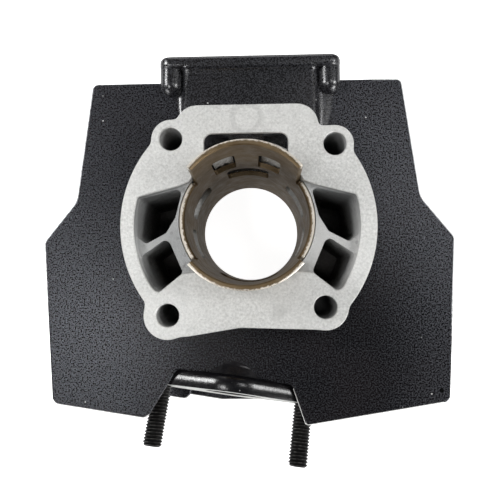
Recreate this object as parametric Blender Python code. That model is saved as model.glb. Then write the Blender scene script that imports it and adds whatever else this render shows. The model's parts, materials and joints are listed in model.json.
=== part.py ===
"""Cylinder barrel of a small air-cooled two-stroke engine.

Four real pieces: the finned aluminium casting, the iron liner pressed into it and the two
exhaust studs screwed into the exhaust flange. The barrel stands on its head gasket face, with
+Z towards the crankcase, the intake on the +Y side and the exhaust on the -Y side.
Distances are in millimetres until MM turns them into metres.
"""
import math

import bmesh
import bpy
from mathutils import Matrix, Vector

MM = 0.001

# --- driving dimensions: heights above the head gasket face ---------------------------------
BASE_FACE = 72.0
LEDGE = 69.0
SKIRT_END = 90.0
BASE_FLANGE_THICKNESS = 10.0
FIN_PITCH = 9.0
FIN_THICKNESS = 3.0
FIN_TOPS = [60.0 - FIN_PITCH * i for i in range(6)]
HEAD_DECK_THICKNESS = 6.0
HEAD_FACE_STEP = 1.0

# --- bore, liner and clearances --------------------------------------------------------------
BORE = 47.0
LINER_WALL = 2.0
GAP = 0.3
LINER_RADIUS = BORE / 2 + LINER_WALL
OUTLINE_CENTRE_Y = 16.3

# --- crankcase studs and base flange ---------------------------------------------------------
STUD_HOLE_RADIUS = 4.3
STUD_HOLES = [(-28.0, 30.6), (33.0, 27.9), (-29.5, -34.9), (28.5, -32.4)]
LOBE_RADII = [7.4, 7.0, 9.0, 8.5]
COLUMN_RADIUS = 8.0
FLANGE_CENTRE = (0.5, -2.0)
FLANGE_RADIUS = 47.5
SHOULDER_Y = 34.8
HUMP_Y = 43.2
HUMP_CORNERS = [(-18.3, 35.2), (19.0, 35.2)]
HUMP_CORNER_RADIUS = 8.0
FLANGE_FRONT = [(-24.9, -43.1), (-2.9, -39.6), (27.3, -40.6)]
BARREL_RADIUS = 33.0
TRANSFER_BULGE_RADIUS = 45.0
TRANSFER_BULGE_Y = (-28.0, 17.0)
TRANSFER_BULGE_START = 28.0

# --- ports -----------------------------------------------------------------------------------
TRANSFER_PORT_Z = (34.0, 46.0)
TRANSFER_PORT_ANGLES = [(10.0, 46.0), (-34.0, -2.0)]
UPPER_WINDOW = [(24.2, 12.6), (39.9, 8.6), (41.9, 3.0), (41.9, -4.0), (36.8, -7.0), (30.0, -3.6), (26.9, 1.6)]
LOWER_WINDOW = [(30.6, -6.4), (40.0, -11.8), (38.3, -19.4), (34.0, -26.0), (24.1, -19.2), (29.0, -8.0)]
WINDOW_CORNER = 1.6
LEDGE_OUTLINE = [(17.0, 16.2), (25.2, 11.6), (39.0, 4.0), (41.0, -7.0), (37.5, -16.0), (31.0, -22.0),
                 (25.0, -18.4), (16.0, -18.6)]
POCKET_HALF_WIDTH = 15.6
POCKET_BACK_Y = 32.2
POCKET_FLOOR = 50.0
BOOST_PORT_Z = (35.5, 51.0)
BOOST_PORT_ANGLES = (68.5, 111.5)
SKIRT_PORT_Z = (55.0, 75.5)
SKIRT_PORT_ANGLES = [(57.5, 79.5), (100.5, 122.5)]
SKIRT_ARCS = [(39.0, 141.0), (-141.0, -39.0)]

# --- fins --------------------------------------------------------------------------------------
FIN_BACK = (61.5, 56.5)
FIN_WAIST = (68.0, 9.5)
FIN_SIDE = (80.8, -6.4)
FIN_FRONT = (77.2, -70.0)
FIN_APEX_Y = -82.5
FIN_FLAT_Y = -80.2
FIN_CORNERS = [2.5, 9.0, 4.0, 3.0]

# --- intake ------------------------------------------------------------------------------------
INTAKE_CENTRE_X = 1.6
INTAKE_FACE_Y = 65.0
INTAKE_PLATE_THICKNESS = 5.0
INTAKE_PLATE_HALF_WIDTH = 35.5
INTAKE_PLATE_Z = (15.0, 65.5)
INTAKE_PLATE_CORNER = 6.0
INTAKE_DUCT_HALF_WIDTH = 26.0
INTAKE_DUCT_Z = (20.0, 63.5)
INTAKE_OPENING_HALF_WIDTH = 21.0
INTAKE_OPENING_Z = (27.0, 58.5)
INTAKE_THROAT_HALF_WIDTH = 17.0
INTAKE_SCREW_HALF_SPACING = 31.2
INTAKE_SCREW_Z = (20.5, 60.0)
INTAKE_SCREW_DEPTH = 12.0
INTAKE_SCREW_RADIUS = 2.1
INTAKE_BOSS_RADIUS = 4.2
INTAKE_BOSS_START_Y = 49.0

# --- exhaust -----------------------------------------------------------------------------------
EXHAUST_AXIS_POINT = Vector((2.5, 0.0, 27.0))
EXHAUST_YAW = math.radians(8.0)
EXHAUST_RISE = math.radians(16.0)
EXHAUST_FACE = 73.2
EXHAUST_FLANGE_THICKNESS = 6.4
EXHAUST_FLANGE_RADIUS = 21.0
EXHAUST_EAR_RADIUS = 9.0
EXHAUST_STUD_HALF_SPACING = 29.3
EXHAUST_DUCT_RADIUS = 16.6
EXHAUST_PORT_RADIUS = 13.0
EXHAUST_WINDOW_HALF_WIDTH = 13.0
EXHAUST_WINDOW_HALF_HEIGHT = 9.5
EXHAUST_STUD_RADIUS = 3.95
EXHAUST_STUD_PROJECTION = 24.0
EXHAUST_STUD_LENGTH = 40.0
EXHAUST_SOCKET_DEPTH = 16.5
EXHAUST_BOSS_RADIUS = 7.5

ROUND_SIDES = 48
SMALL_ROUND_SIDES = 24
OUTLINE_SIDES = 96


# --- small geometry helpers ----------------------------------------------------------------------
def exhaust_frame():
    """Axes of the exhaust: local X across the studs, local Y up the flange, local Z outwards."""
    outward = Vector((-math.sin(EXHAUST_YAW) * math.cos(EXHAUST_RISE),
                      -math.cos(EXHAUST_YAW) * math.cos(EXHAUST_RISE),
                      math.sin(EXHAUST_RISE)))
    across = Vector((math.cos(EXHAUST_YAW), -math.sin(EXHAUST_YAW), 0.0))
    up = outward.cross(across)
    turn = Matrix((across, up, outward)).transposed().to_4x4()
    return Matrix.Translation(EXHAUST_AXIS_POINT) @ turn


def polar(angle, radius):
    """Point at an angle in degrees and a radius, about the bore axis."""
    a = math.radians(angle)
    return (radius * math.cos(a), radius * math.sin(a))


def ray_circle(angle, centre, radius):
    """How far a ray from the bore axis reaches before it leaves a circle (0 when it misses)."""
    a = math.radians(angle)
    along = centre[0] * math.cos(a) + centre[1] * math.sin(a)
    across = centre[0] * math.sin(a) - centre[1] * math.cos(a)
    if abs(across) > radius:
        return 0.0
    return max(0.0, along + math.sqrt(radius * radius - across * across))


def ray_line(angle, start, end):
    """How far a ray from the bore axis runs to the line through two points."""
    a = math.radians(angle)
    edge = (end[0] - start[0], end[1] - start[1])
    cross = math.cos(a) * edge[1] - math.sin(a) * edge[0]
    if abs(cross) < 1e-9:
        return math.inf
    reach = (start[0] * edge[1] - start[1] * edge[0]) / cross
    return reach if reach > 0 else math.inf


def base_flange_reach(angle):
    """Outline of the base flange: a clipped disc, the hump over the intake and four stud lobes."""
    body = ray_circle(angle, FLANGE_CENTRE, FLANGE_RADIUS)
    left, middle, right = FLANGE_FRONT
    if math.sin(math.radians(angle)) > 0:
        body = min(body, ray_line(angle, (-1.0, SHOULDER_Y), (1.0, SHOULDER_Y)))
    else:
        front = ray_line(angle, middle, right)
        if front * math.cos(math.radians(angle)) < middle[0]:
            front = ray_line(angle, left, middle)
        body = min(body, front)
    reaches = [body]
    if math.sin(math.radians(angle)) > 0:
        top = ray_line(angle, (-1.0, HUMP_Y), (1.0, HUMP_Y))
        if HUMP_CORNERS[0][0] < top * math.cos(math.radians(angle)) < HUMP_CORNERS[1][0]:
            reaches.append(top)
    reaches += [ray_circle(angle, corner, HUMP_CORNER_RADIUS) for corner in HUMP_CORNERS]
    reaches += [ray_circle(angle, hole, radius) for hole, radius in zip(STUD_HOLES, LOBE_RADII)]
    return max(reaches)


def upper_body_reach(angle):
    """Outline of the barrel at its head end: the round wall and the four stud columns."""
    return max([BARREL_RADIUS] + [ray_circle(angle, hole, COLUMN_RADIUS) for hole in STUD_HOLES])


def lower_body_reach(angle):
    """Outline of the barrel at its crankcase end, where the transfer passages bulge sideways."""
    a = math.radians(angle)
    bulge = ray_circle(angle, FLANGE_CENTRE, TRANSFER_BULGE_RADIUS)
    limit = TRANSFER_BULGE_Y[1] if math.sin(a) > 0 else TRANSFER_BULGE_Y[0]
    bulge = min(bulge, ray_line(angle, (-1.0, limit), (1.0, limit)))
    return max(upper_body_reach(angle), bulge)


def outline_from(reach, sides=OUTLINE_SIDES):
    """Closed outline, one point per ray, from a function that gives the reach at an angle."""
    return [polar(360.0 * i / sides, reach(360.0 * i / sides)) for i in range(sides)]


def rounded(points, radii, steps=3):
    """Closed polygon whose corners are rounded by arcs of the given radii."""
    outline = []
    count = len(points)
    for i, corner in enumerate(points):
        here = Vector(corner)
        before = (Vector(points[i - 1]) - here).normalized()
        after = (Vector(points[(i + 1) % count]) - here).normalized()
        half = before.angle(after) / 2
        radius = radii[i] if isinstance(radii, (list, tuple)) else radii
        if radius <= 0 or half > math.radians(88):
            outline.append(tuple(here))
            continue
        middle = here + (before + after).normalized() * radius / math.sin(half)
        start = here + before * radius / math.tan(half) - middle
        end = here + after * radius / math.tan(half) - middle
        sweep = start.angle_signed(end)
        for k in range(steps + 1):
            turned = Matrix.Rotation(-sweep * k / steps, 2) @ start
            outline.append(tuple(middle + turned))
    return outline


def circle(radius, sides=ROUND_SIDES, centre=(0.0, 0.0)):
    """Closed round outline."""
    points = [polar(360.0 * i / sides, radius) for i in range(sides)]
    return [(x + centre[0], y + centre[1]) for x, y in points]


def sector(inner, outer, start, end, steps=6):
    """Closed ring piece between two radii and two angles in degrees."""
    angles = [start + (end - start) * i / steps for i in range(steps + 1)]
    return [polar(a, outer) for a in angles] + [polar(a, inner) for a in reversed(angles)]


def hull_of_circles(middle_radius, ear_radius, spacing, steps=8):
    """Outline of a two-stud flange: a round middle drawn out to an ear at each stud."""
    lean = math.degrees(math.acos((middle_radius - ear_radius) / spacing))
    outline = []
    for centre, radius, start, end in ((spacing, ear_radius, -lean, lean),
                                       (0.0, middle_radius, lean, 180.0 - lean),
                                       (-spacing, ear_radius, 180.0 - lean, 180.0 + lean),
                                       (0.0, middle_radius, 180.0 + lean, 360.0 - lean)):
        for i in range(steps + 1):
            x, y = polar(start + (end - start) * i / steps, radius)
            outline.append((x + centre, y))
    return outline


# --- solids and booleans -------------------------------------------------------------------------
def prism(name, outline, bottom, top, frame=Matrix()):
    """Closed prism of an outline between two heights of a frame (Z up unless a frame is given)."""
    mesh = bpy.data.meshes.new(name)
    bm = bmesh.new()
    face = bm.faces.new([bm.verts.new((x, y, bottom)) for x, y in outline])
    bmesh.ops.remove_doubles(bm, verts=bm.verts, dist=0.01)
    face = bm.faces[:][0]
    grown = bmesh.ops.extrude_face_region(bm, geom=[face])
    lifted = [v for v in grown["geom"] if isinstance(v, bmesh.types.BMVert)]
    bmesh.ops.translate(bm, verts=lifted, vec=(0.0, 0.0, top - bottom))
    bmesh.ops.transform(bm, matrix=frame, verts=bm.verts)
    bmesh.ops.scale(bm, vec=(MM, MM, MM), verts=bm.verts)
    bmesh.ops.recalc_face_normals(bm, faces=bm.faces)
    bm.to_mesh(mesh)
    bm.free()
    solid = bpy.data.objects.new(name, mesh)
    bpy.context.scene.collection.objects.link(solid)
    return solid


def combine(body, tool, operation):
    """Apply one Boolean of a tool to a body, then drop the tool."""
    modifier = body.modifiers.new("combine", "BOOLEAN")
    modifier.operation = operation
    modifier.solver = "EXACT"
    modifier.object = tool
    graph = bpy.context.evaluated_depsgraph_get()
    result = bpy.data.meshes.new_from_object(body.evaluated_get(graph))
    body.modifiers.remove(modifier)
    old = body.data
    body.data = result
    bpy.data.meshes.remove(old)
    bpy.data.objects.remove(tool)


def join_all(body, tools):
    """Unite a body with each tool in turn."""
    for tool in tools:
        combine(body, tool, "UNION")


def cut_all(body, tools):
    """Cut each tool out of a body in turn."""
    for tool in tools:
        combine(body, tool, "DIFFERENCE")


def mirrored(outline):
    """The same outline on the other side of the bore's YZ plane."""
    return [(-x, y) for x, y in reversed(outline)]


def along_y(bottom_y):
    """Frame whose Z runs along +Y from a depth: its X stays X and its Y is the part's -Z."""
    return Matrix.Translation((0.0, bottom_y, 0.0)) @ Matrix.Rotation(math.radians(-90.0), 4, "X")


def material(name, colour, metallic, roughness):
    """Plain Principled material."""
    made = bpy.data.materials.new(name)
    made.use_nodes = True
    shader = made.node_tree.nodes["Principled BSDF"]
    shader.inputs["Base Color"].default_value = (*colour, 1.0)
    shader.inputs["Metallic"].default_value = metallic
    shader.inputs["Roughness"].default_value = roughness
    return made


# --- the casting -----------------------------------------------------------------------------------
def fin_edge_y(x):
    """Front edge of a fin: a shallow V with its point on the exhaust side."""
    slope = (FIN_FRONT[1] - FIN_APEX_Y) / FIN_FRONT[0]
    return FIN_APEX_Y + slope * abs(x)


def notch_corner(across, out, height):
    """Point at a height, given by its place across and out along the exhaust."""
    frame = exhaust_frame()
    up_axis = frame.to_3x3().col[1]
    start = frame @ Vector((across, 0.0, out))
    lift = (height - start.z) / up_axis.z
    point = start + up_axis * lift
    return (point.x, point.y)


def fin_outline(top):
    """Outline of the fin whose crankcase side is at this height, with its exhaust notch."""
    right = [FIN_BACK, FIN_WAIST, FIN_SIDE, FIN_FRONT]
    left = [(-x, y) for x, y in reversed(right)]
    back = EXHAUST_FACE - EXHAUST_FLANGE_THICKNESS + 0.6
    lowest = top == FIN_TOPS[0]
    if lowest:
        tips, inner, depth = (21.6, -40.2), 22.5, back
    elif top > FIN_TOPS[4]:
        tips, inner, depth = (38.0, -56.0), 39.0, back
    elif top == FIN_TOPS[4]:
        tips, inner, depth = (18.5, -29.2), 19.0, EXHAUST_FACE - 3.0
    else:
        flat = (FIN_APEX_Y - FIN_FLAT_Y) / ((FIN_FRONT[1] - FIN_APEX_Y) / FIN_FRONT[0])
        middle = [(-flat, FIN_FLAT_Y), (flat, FIN_FLAT_Y)]
        return rounded(right + middle + left, FIN_CORNERS + [0.0, 0.0] + FIN_CORNERS[::-1])
    notch = [(tips[0], fin_edge_y(tips[0])), notch_corner(inner, depth, top),
             notch_corner(-inner, depth, top), (tips[1], fin_edge_y(tips[1]))]
    radii = FIN_CORNERS + [1.5, 2.5, 2.5, 3.0] + FIN_CORNERS[::-1]
    return rounded(right + notch + left, radii)


def intake_solids():
    """Reed box duct, its flange plate and the four screw bosses behind the plate."""
    duct = [(INTAKE_CENTRE_X - INTAKE_DUCT_HALF_WIDTH, -INTAKE_DUCT_Z[1]),
            (INTAKE_CENTRE_X + INTAKE_DUCT_HALF_WIDTH, -INTAKE_DUCT_Z[1]),
            (INTAKE_CENTRE_X + INTAKE_DUCT_HALF_WIDTH, -INTAKE_DUCT_Z[0]),
            (INTAKE_CENTRE_X - INTAKE_DUCT_HALF_WIDTH, -INTAKE_DUCT_Z[0])]
    plate = [(INTAKE_CENTRE_X - INTAKE_PLATE_HALF_WIDTH, -INTAKE_PLATE_Z[1]),
             (INTAKE_CENTRE_X + INTAKE_PLATE_HALF_WIDTH, -INTAKE_PLATE_Z[1]),
             (INTAKE_CENTRE_X + INTAKE_PLATE_HALF_WIDTH, -INTAKE_PLATE_Z[0]),
             (INTAKE_CENTRE_X - INTAKE_PLATE_HALF_WIDTH, -INTAKE_PLATE_Z[0])]
    plate_back = INTAKE_FACE_Y - INTAKE_PLATE_THICKNESS
    solids = [prism("duct", rounded(duct, 5.0), 0.0, plate_back - 18.0, along_y(20.0)),
              prism("plate", rounded(plate, INTAKE_PLATE_CORNER), 0.0, INTAKE_PLATE_THICKNESS,
                    along_y(plate_back))]
    for x, z in intake_screws():
        outline = circle(INTAKE_BOSS_RADIUS, SMALL_ROUND_SIDES, (x, -z))
        length = plate_back - INTAKE_BOSS_START_Y + 1.0
        solids.append(prism("boss", outline, 0.0, length, along_y(INTAKE_BOSS_START_Y)))
    return solids


def intake_screws():
    """Places (x, z) of the four screws of the intake flange."""
    return [(INTAKE_CENTRE_X + side * INTAKE_SCREW_HALF_SPACING, z)
            for side in (-1, 1) for z in INTAKE_SCREW_Z]


def intake_cuts():
    """Reed opening, throat to the bore, pocket in the base face and the four screw holes."""
    opening = [(INTAKE_CENTRE_X - INTAKE_OPENING_HALF_WIDTH, -INTAKE_OPENING_Z[1]),
               (INTAKE_CENTRE_X + INTAKE_OPENING_HALF_WIDTH, -INTAKE_OPENING_Z[1]),
               (INTAKE_CENTRE_X + INTAKE_OPENING_HALF_WIDTH, -INTAKE_OPENING_Z[0]),
               (INTAKE_CENTRE_X - INTAKE_OPENING_HALF_WIDTH, -INTAKE_OPENING_Z[0])]
    throat = [(-INTAKE_THROAT_HALF_WIDTH, -INTAKE_OPENING_Z[1] + 0.7),
              (INTAKE_THROAT_HALF_WIDTH, -INTAKE_OPENING_Z[1] + 0.7),
              (INTAKE_THROAT_HALF_WIDTH, -BOOST_PORT_Z[0]),
              (-INTAKE_THROAT_HALF_WIDTH, -BOOST_PORT_Z[0])]
    pocket = [(-POCKET_HALF_WIDTH, 15.0), (POCKET_HALF_WIDTH, 15.0),
              (POCKET_HALF_WIDTH, POCKET_BACK_Y), (-POCKET_HALF_WIDTH, POCKET_BACK_Y)]
    cuts = [prism("opening", rounded(opening, 4.0), 0.0, 31.0, along_y(36.0)),
            prism("throat", rounded(throat, 2.0), 0.0, 22.0, along_y(15.0)),
            prism("pocket", rounded(pocket, [0.0, 0.0, 3.0, 3.0]), POCKET_FLOOR, BASE_FACE + 1.0)]
    start = INTAKE_FACE_Y - INTAKE_SCREW_DEPTH
    for x, z in intake_screws():
        outline = circle(INTAKE_SCREW_RADIUS, 16, (x, -z))
        cuts.append(prism("screw", outline, 0.0, INTAKE_SCREW_DEPTH + 1.0, along_y(start)))
    return cuts


def exhaust_solids():
    """Exhaust duct, its two-stud flange and the bosses that hold the studs."""
    frame = exhaust_frame()
    back = EXHAUST_FACE - EXHAUST_FLANGE_THICKNESS
    flange = hull_of_circles(EXHAUST_FLANGE_RADIUS, EXHAUST_EAR_RADIUS, EXHAUST_STUD_HALF_SPACING)
    solids = [prism("duct", circle(EXHAUST_DUCT_RADIUS), 26.0, back + 1.0, frame),
              prism("flange", flange, back, EXHAUST_FACE, frame)]
    for side in (-1, 1):
        outline = circle(EXHAUST_BOSS_RADIUS, SMALL_ROUND_SIDES, (side * EXHAUST_STUD_HALF_SPACING, 0.0))
        solids.append(prism("boss", outline, back - 13.0, back + 1.0, frame))
    return solids


def exhaust_cuts():
    """Exhaust port through the duct and the two stud sockets."""
    frame = exhaust_frame()
    cuts = [prism("port", circle(EXHAUST_PORT_RADIUS), 10.0, EXHAUST_FACE + 1.0, frame)]
    for side in (-1, 1):
        outline = circle(EXHAUST_STUD_RADIUS + GAP, SMALL_ROUND_SIDES,
                         (side * EXHAUST_STUD_HALF_SPACING, 0.0))
        cuts.append(prism("socket", outline, EXHAUST_FACE - EXHAUST_SOCKET_DEPTH, EXHAUST_FACE + 1.0, frame))
    return cuts


def passage_cuts():
    """Four transfer passages: a window in the base face, a shaft and a port into the bore."""
    low, high = TRANSFER_PORT_Z
    cuts = []
    for window, (start, end) in zip((UPPER_WINDOW, LOWER_WINDOW), TRANSFER_PORT_ANGLES):
        shaft = rounded(window, WINDOW_CORNER, 2)
        mouth = sector(20.0, 32.5, start, end)
        for outline, bottom, top in ((shaft, low - 0.5, BASE_FACE + 1.0), (mouth, low, high)):
            cuts.append(prism("passage", outline, bottom, top))
            cuts.append(prism("passage", mirrored(outline), bottom, top))
    for outline in (LEDGE_OUTLINE, mirrored(LEDGE_OUTLINE)):
        cuts.append(prism("ledge", outline, LEDGE, BASE_FACE + 1.0))
    return cuts


def make_casting():
    """Aluminium casting: barrel, fins, base flange, head deck, intake and exhaust."""
    casting = prism("cylinder_casting", outline_from(upper_body_reach), 0.0, TRANSFER_BULGE_START + 1.0)
    join_all(casting, [prism("body", outline_from(lower_body_reach), TRANSFER_BULGE_START, BASE_FACE - 3.0),
                       prism("base", outline_from(base_flange_reach, 2 * OUTLINE_SIDES),
                             BASE_FACE - BASE_FLANGE_THICKNESS, BASE_FACE)])
    join_all(casting, [prism("fin", fin_outline(top), top - FIN_THICKNESS, top) for top in FIN_TOPS])
    join_all(casting, [prism("deck", fin_outline(HEAD_DECK_THICKNESS), HEAD_FACE_STEP, HEAD_DECK_THICKNESS)])
    join_all(casting, intake_solids())
    join_all(casting, exhaust_solids())
    cut_all(casting, passage_cuts())
    cut_all(casting, intake_cuts())
    cut_all(casting, exhaust_cuts())
    cut_all(casting, [prism("hole", circle(STUD_HOLE_RADIUS, SMALL_ROUND_SIDES, hole), -1.0, BASE_FACE + 1.0)
                      for hole in STUD_HOLES])
    cut_all(casting, [prism("bore", circle(LINER_RADIUS + GAP, 2 * ROUND_SIDES), -1.0, BASE_FACE + 1.0)])
    casting.data.materials.clear()
    casting.data.materials.append(material("black_painted_aluminium", (0.022, 0.023, 0.025), 0.0, 0.5))
    return casting


# --- the liner -------------------------------------------------------------------------------------
def make_liner():
    """Iron liner: a thin tube with its ports and a skirt left standing on two sides."""
    sides = 2 * ROUND_SIDES
    liner = prism("cylinder_liner", circle(LINER_RADIUS, sides), 0.0, SKIRT_END)
    cut_all(liner, [prism("bore", circle(BORE / 2, sides), -1.0, SKIRT_END + 1.0)])
    low, high = SKIRT_ARCS[0][0], SKIRT_ARCS[1][1]
    for start, end in ((high, low), (180.0 - low, 180.0 - high)):
        cut_all(liner, [prism("side", sector(20.0, 30.0, start, end, 8), LEDGE, SKIRT_END + 1.0)])
    for start, end in TRANSFER_PORT_ANGLES:
        for outline in (sector(20.0, 30.0, start, end), mirrored(sector(20.0, 30.0, start, end))):
            cut_all(liner, [prism("port", outline, *TRANSFER_PORT_Z)])
    cut_all(liner, [prism("boost", sector(20.0, 30.0, *BOOST_PORT_ANGLES), *BOOST_PORT_Z)])
    cut_all(liner, [prism("port", sector(20.0, 30.0, start, end), *SKIRT_PORT_Z)
                    for start, end in SKIRT_PORT_ANGLES])
    half_width, half_height = EXHAUST_WINDOW_HALF_WIDTH, EXHAUST_WINDOW_HALF_HEIGHT
    window = [(-half_width, -half_height), (half_width, -half_height),
              (half_width, half_height), (-half_width, half_height)]
    cut_all(liner, [prism("exhaust", rounded(window, 5.0), 5.0, 32.0, exhaust_frame())])
    liner.data.materials.clear()
    liner.data.materials.append(material("liner_iron", (0.21, 0.17, 0.13), 1.0, 0.38))
    return liner


# --- the exhaust studs --------------------------------------------------------------------------------
def make_stud(name, side, black):
    """Exhaust stud: a round bar with chamfered ends, its origin on the flange face."""
    tip = EXHAUST_STUD_PROJECTION * MM
    chamfer = 0.9 * MM
    length = EXHAUST_STUD_LENGTH * MM
    radius = EXHAUST_STUD_RADIUS * MM
    mesh = bpy.data.meshes.new(name)
    bm = bmesh.new()
    bmesh.ops.create_cone(bm, cap_ends=True, segments=SMALL_ROUND_SIDES, radius1=radius,
                          radius2=radius, depth=length)
    bmesh.ops.translate(bm, verts=bm.verts, vec=(0.0, 0.0, tip - length / 2))
    rims = [e for e in bm.edges if abs(e.verts[0].co.z - e.verts[1].co.z) < length / 2]
    bmesh.ops.bevel(bm, geom=rims, offset=chamfer, segments=1, affect="EDGES")
    bm.to_mesh(mesh)
    bm.free()
    stud = bpy.data.objects.new(name, mesh)
    bpy.context.scene.collection.objects.link(stud)
    place = exhaust_frame() @ Matrix.Translation((side * EXHAUST_STUD_HALF_SPACING, 0.0, EXHAUST_FACE))
    place.translation *= MM
    stud.matrix_world = place
    stud.data.materials.append(black)
    return stud


def main():
    """Clear the scene, build the four pieces and stand them on one assembly empty."""
    for old in list(bpy.data.objects):
        bpy.data.objects.remove(old)
    black = material("black_oxide_steel", (0.03, 0.03, 0.03), 1.0, 0.45)
    pieces = [make_casting(), make_liner(), make_stud("exhaust_stud_left", -1, black),
              make_stud("exhaust_stud_right", 1, black)]
    assembly = bpy.data.objects.new("assembly", None)
    bpy.context.scene.collection.objects.link(assembly)
    for piece in pieces:
        piece.data.shade_smooth()
        piece.data.set_sharp_from_angle(angle=math.radians(35.0))
        piece.parent = assembly
    assembly.location = (0.0, OUTLINE_CENTRE_Y * MM, 0.0)


main()
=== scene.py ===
# %% [markdown]
# # Cylinder barrel of a small air-cooled two-stroke engine
# The barrel is one aluminium casting with cooling fins, an iron liner pressed into it and two
# steel studs for the exhaust pipe. It is blasted, powder coated in black, and then machined, so
# every gasket face is bare metal while the rest stays black.
# The exact solids are loaded first. They are the frame that all the finer pieces must fit.

# %% Load the frame
import json
import math

import bmesh
import bpy
from mathutils import Matrix, Vector


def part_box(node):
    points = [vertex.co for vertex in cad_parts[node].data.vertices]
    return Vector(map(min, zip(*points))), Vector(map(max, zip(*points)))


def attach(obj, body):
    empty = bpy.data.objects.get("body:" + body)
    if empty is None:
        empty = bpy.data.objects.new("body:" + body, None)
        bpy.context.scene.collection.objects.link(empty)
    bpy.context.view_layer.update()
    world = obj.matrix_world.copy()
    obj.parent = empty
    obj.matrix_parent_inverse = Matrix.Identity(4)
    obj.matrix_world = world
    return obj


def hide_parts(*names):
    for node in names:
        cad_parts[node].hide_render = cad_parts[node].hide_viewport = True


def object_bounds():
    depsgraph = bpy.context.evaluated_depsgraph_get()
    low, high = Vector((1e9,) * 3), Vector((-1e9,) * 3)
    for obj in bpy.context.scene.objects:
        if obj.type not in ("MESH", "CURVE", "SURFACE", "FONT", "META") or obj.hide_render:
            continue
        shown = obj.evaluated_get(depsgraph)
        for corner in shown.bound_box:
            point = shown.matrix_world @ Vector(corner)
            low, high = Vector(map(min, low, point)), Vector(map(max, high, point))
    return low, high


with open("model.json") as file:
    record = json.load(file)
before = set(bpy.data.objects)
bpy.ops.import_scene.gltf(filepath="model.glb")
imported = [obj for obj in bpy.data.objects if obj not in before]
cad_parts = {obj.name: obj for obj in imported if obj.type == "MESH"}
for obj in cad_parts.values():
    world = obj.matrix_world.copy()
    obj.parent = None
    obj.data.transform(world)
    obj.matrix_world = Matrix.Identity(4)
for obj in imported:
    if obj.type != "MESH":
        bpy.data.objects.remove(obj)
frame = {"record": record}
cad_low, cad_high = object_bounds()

print("frame box in mm:", [round(v * 1000, 1) for v in (*cad_low, *cad_high)])

# %% [markdown]
# ## The barrel's own measure
# An engine maker draws a cylinder about its bore, in millimetres. The liner's solid gives the
# bore axis, and the gasket faces in the record give the heights, so every shape below is drawn
# about the bore and moved to its place once, at the end.

# %% Bore axis and heights
MM = 0.001
liner_low, liner_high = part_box("cylinder_liner")
casting_low, casting_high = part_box("cylinder_casting")
faces = {mount["name"]: Vector(mount["pos_m"]) for mount in frame["record"]["mounts"]}
BORE_AXIS = Vector(((liner_low.x + liner_high.x) / 2, (liner_low.y + liner_high.y) / 2, 0.0))
TO_FRAME = Matrix.Translation(BORE_AXIS) @ Matrix.Scale(MM, 4)
BASE_FACE = faces["base_gasket_face"].z / MM
SKIRT_END = liner_high.z / MM
LINER_RADIUS = (liner_high.x - liner_low.x) / 2 / MM
LINER_WALL = 2.0
BORE_RADIUS = LINER_RADIUS - LINER_WALL
SEAT_GAP = 0.3
INTAKE_FACE_Y = (faces["intake_flange_face"].y - BORE_AXIS.y) / MM
LEDGE = BASE_FACE - 3.0
BASE_FLANGE_THICKNESS = 10.0
print("bore", 2 * BORE_RADIUS, "base face", BASE_FACE, "skirt end", SKIRT_END)

# %% [markdown]
# ## Three ways to turn an outline into metal
# A loft joins rings of equal count into one closed skin. A slab is a loft of one outline at
# several heights, grown or shrunk at each, which gives rounded rims, chamfers and coves without
# a bevel tool that could slip. A Boolean joins or cuts two closed skins, as welding and
# milling would. Each skin carries the same five finishes, so a cut keeps its cutter's finish.

# %% Outlines
def polar(angle, radius):
    """Point at an angle in degrees and a radius, about the bore axis."""
    a = math.radians(angle)
    return (radius * math.cos(a), radius * math.sin(a))


def rounded(points, radii, steps=6):
    """Closed polygon whose corners are rounded by arcs of the given radii."""
    outline = []
    for i, corner in enumerate(points):
        here = Vector(corner)
        before = (Vector(points[i - 1]) - here).normalized()
        after = (Vector(points[(i + 1) % len(points)]) - here).normalized()
        half = before.angle(after) / 2
        radius = radii[i] if isinstance(radii, (list, tuple)) else radii
        if radius <= 0 or half > math.radians(88):
            outline.append(tuple(here))
            continue
        middle = here + (before + after).normalized() * radius / math.sin(half)
        start = here + before * radius / math.tan(half) - middle
        end = here + after * radius / math.tan(half) - middle
        sweep = start.angle_signed(end)
        outline += [tuple(middle + Matrix.Rotation(-sweep * k / steps, 2) @ start) for k in range(steps + 1)]
    return outline


def grown(outline, amount):
    """The outline moved outwards by an amount, corner by corner."""
    if amount == 0:
        return list(outline)
    count = len(outline)
    area = sum(outline[i - 1][0] * outline[i][1] - outline[i][0] * outline[i - 1][1] for i in range(count))
    turn = 1.0 if area > 0 else -1.0
    moved = []
    for i in range(count):
        here = Vector(outline[i])
        into = (here - Vector(outline[i - 1])).normalized()
        away = (Vector(outline[(i + 1) % count]) - here).normalized()
        out_a = Vector((into.y, -into.x)) * turn
        out_b = Vector((away.y, -away.x)) * turn
        corner = out_a + out_b
        share = max(0.35, corner.length_squared / 4)
        moved.append(tuple(here + corner / 2 * amount / share))
    return moved


def circle(radius, sides=64, centre=(0.0, 0.0)):
    """Closed round outline."""
    points = [polar(360.0 * i / sides, radius) for i in range(sides)]
    return [(x + centre[0], y + centre[1]) for x, y in points]


def box_outline(centre_x, half_width, low, high):
    """Rectangle in X and a second direction."""
    left, right = centre_x - half_width, centre_x + half_width
    return [(left, low), (right, low), (right, high), (left, high)]


# %% Lofts, slabs and Booleans
PAINTED, CAST, MACHINED, GLOSSY, SATIN = range(5)
finishes = []


def placed(name, data):
    """New object, linked to the scene."""
    made = bpy.data.objects.new(name, data)
    bpy.context.scene.collection.objects.link(made)
    return made


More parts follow.
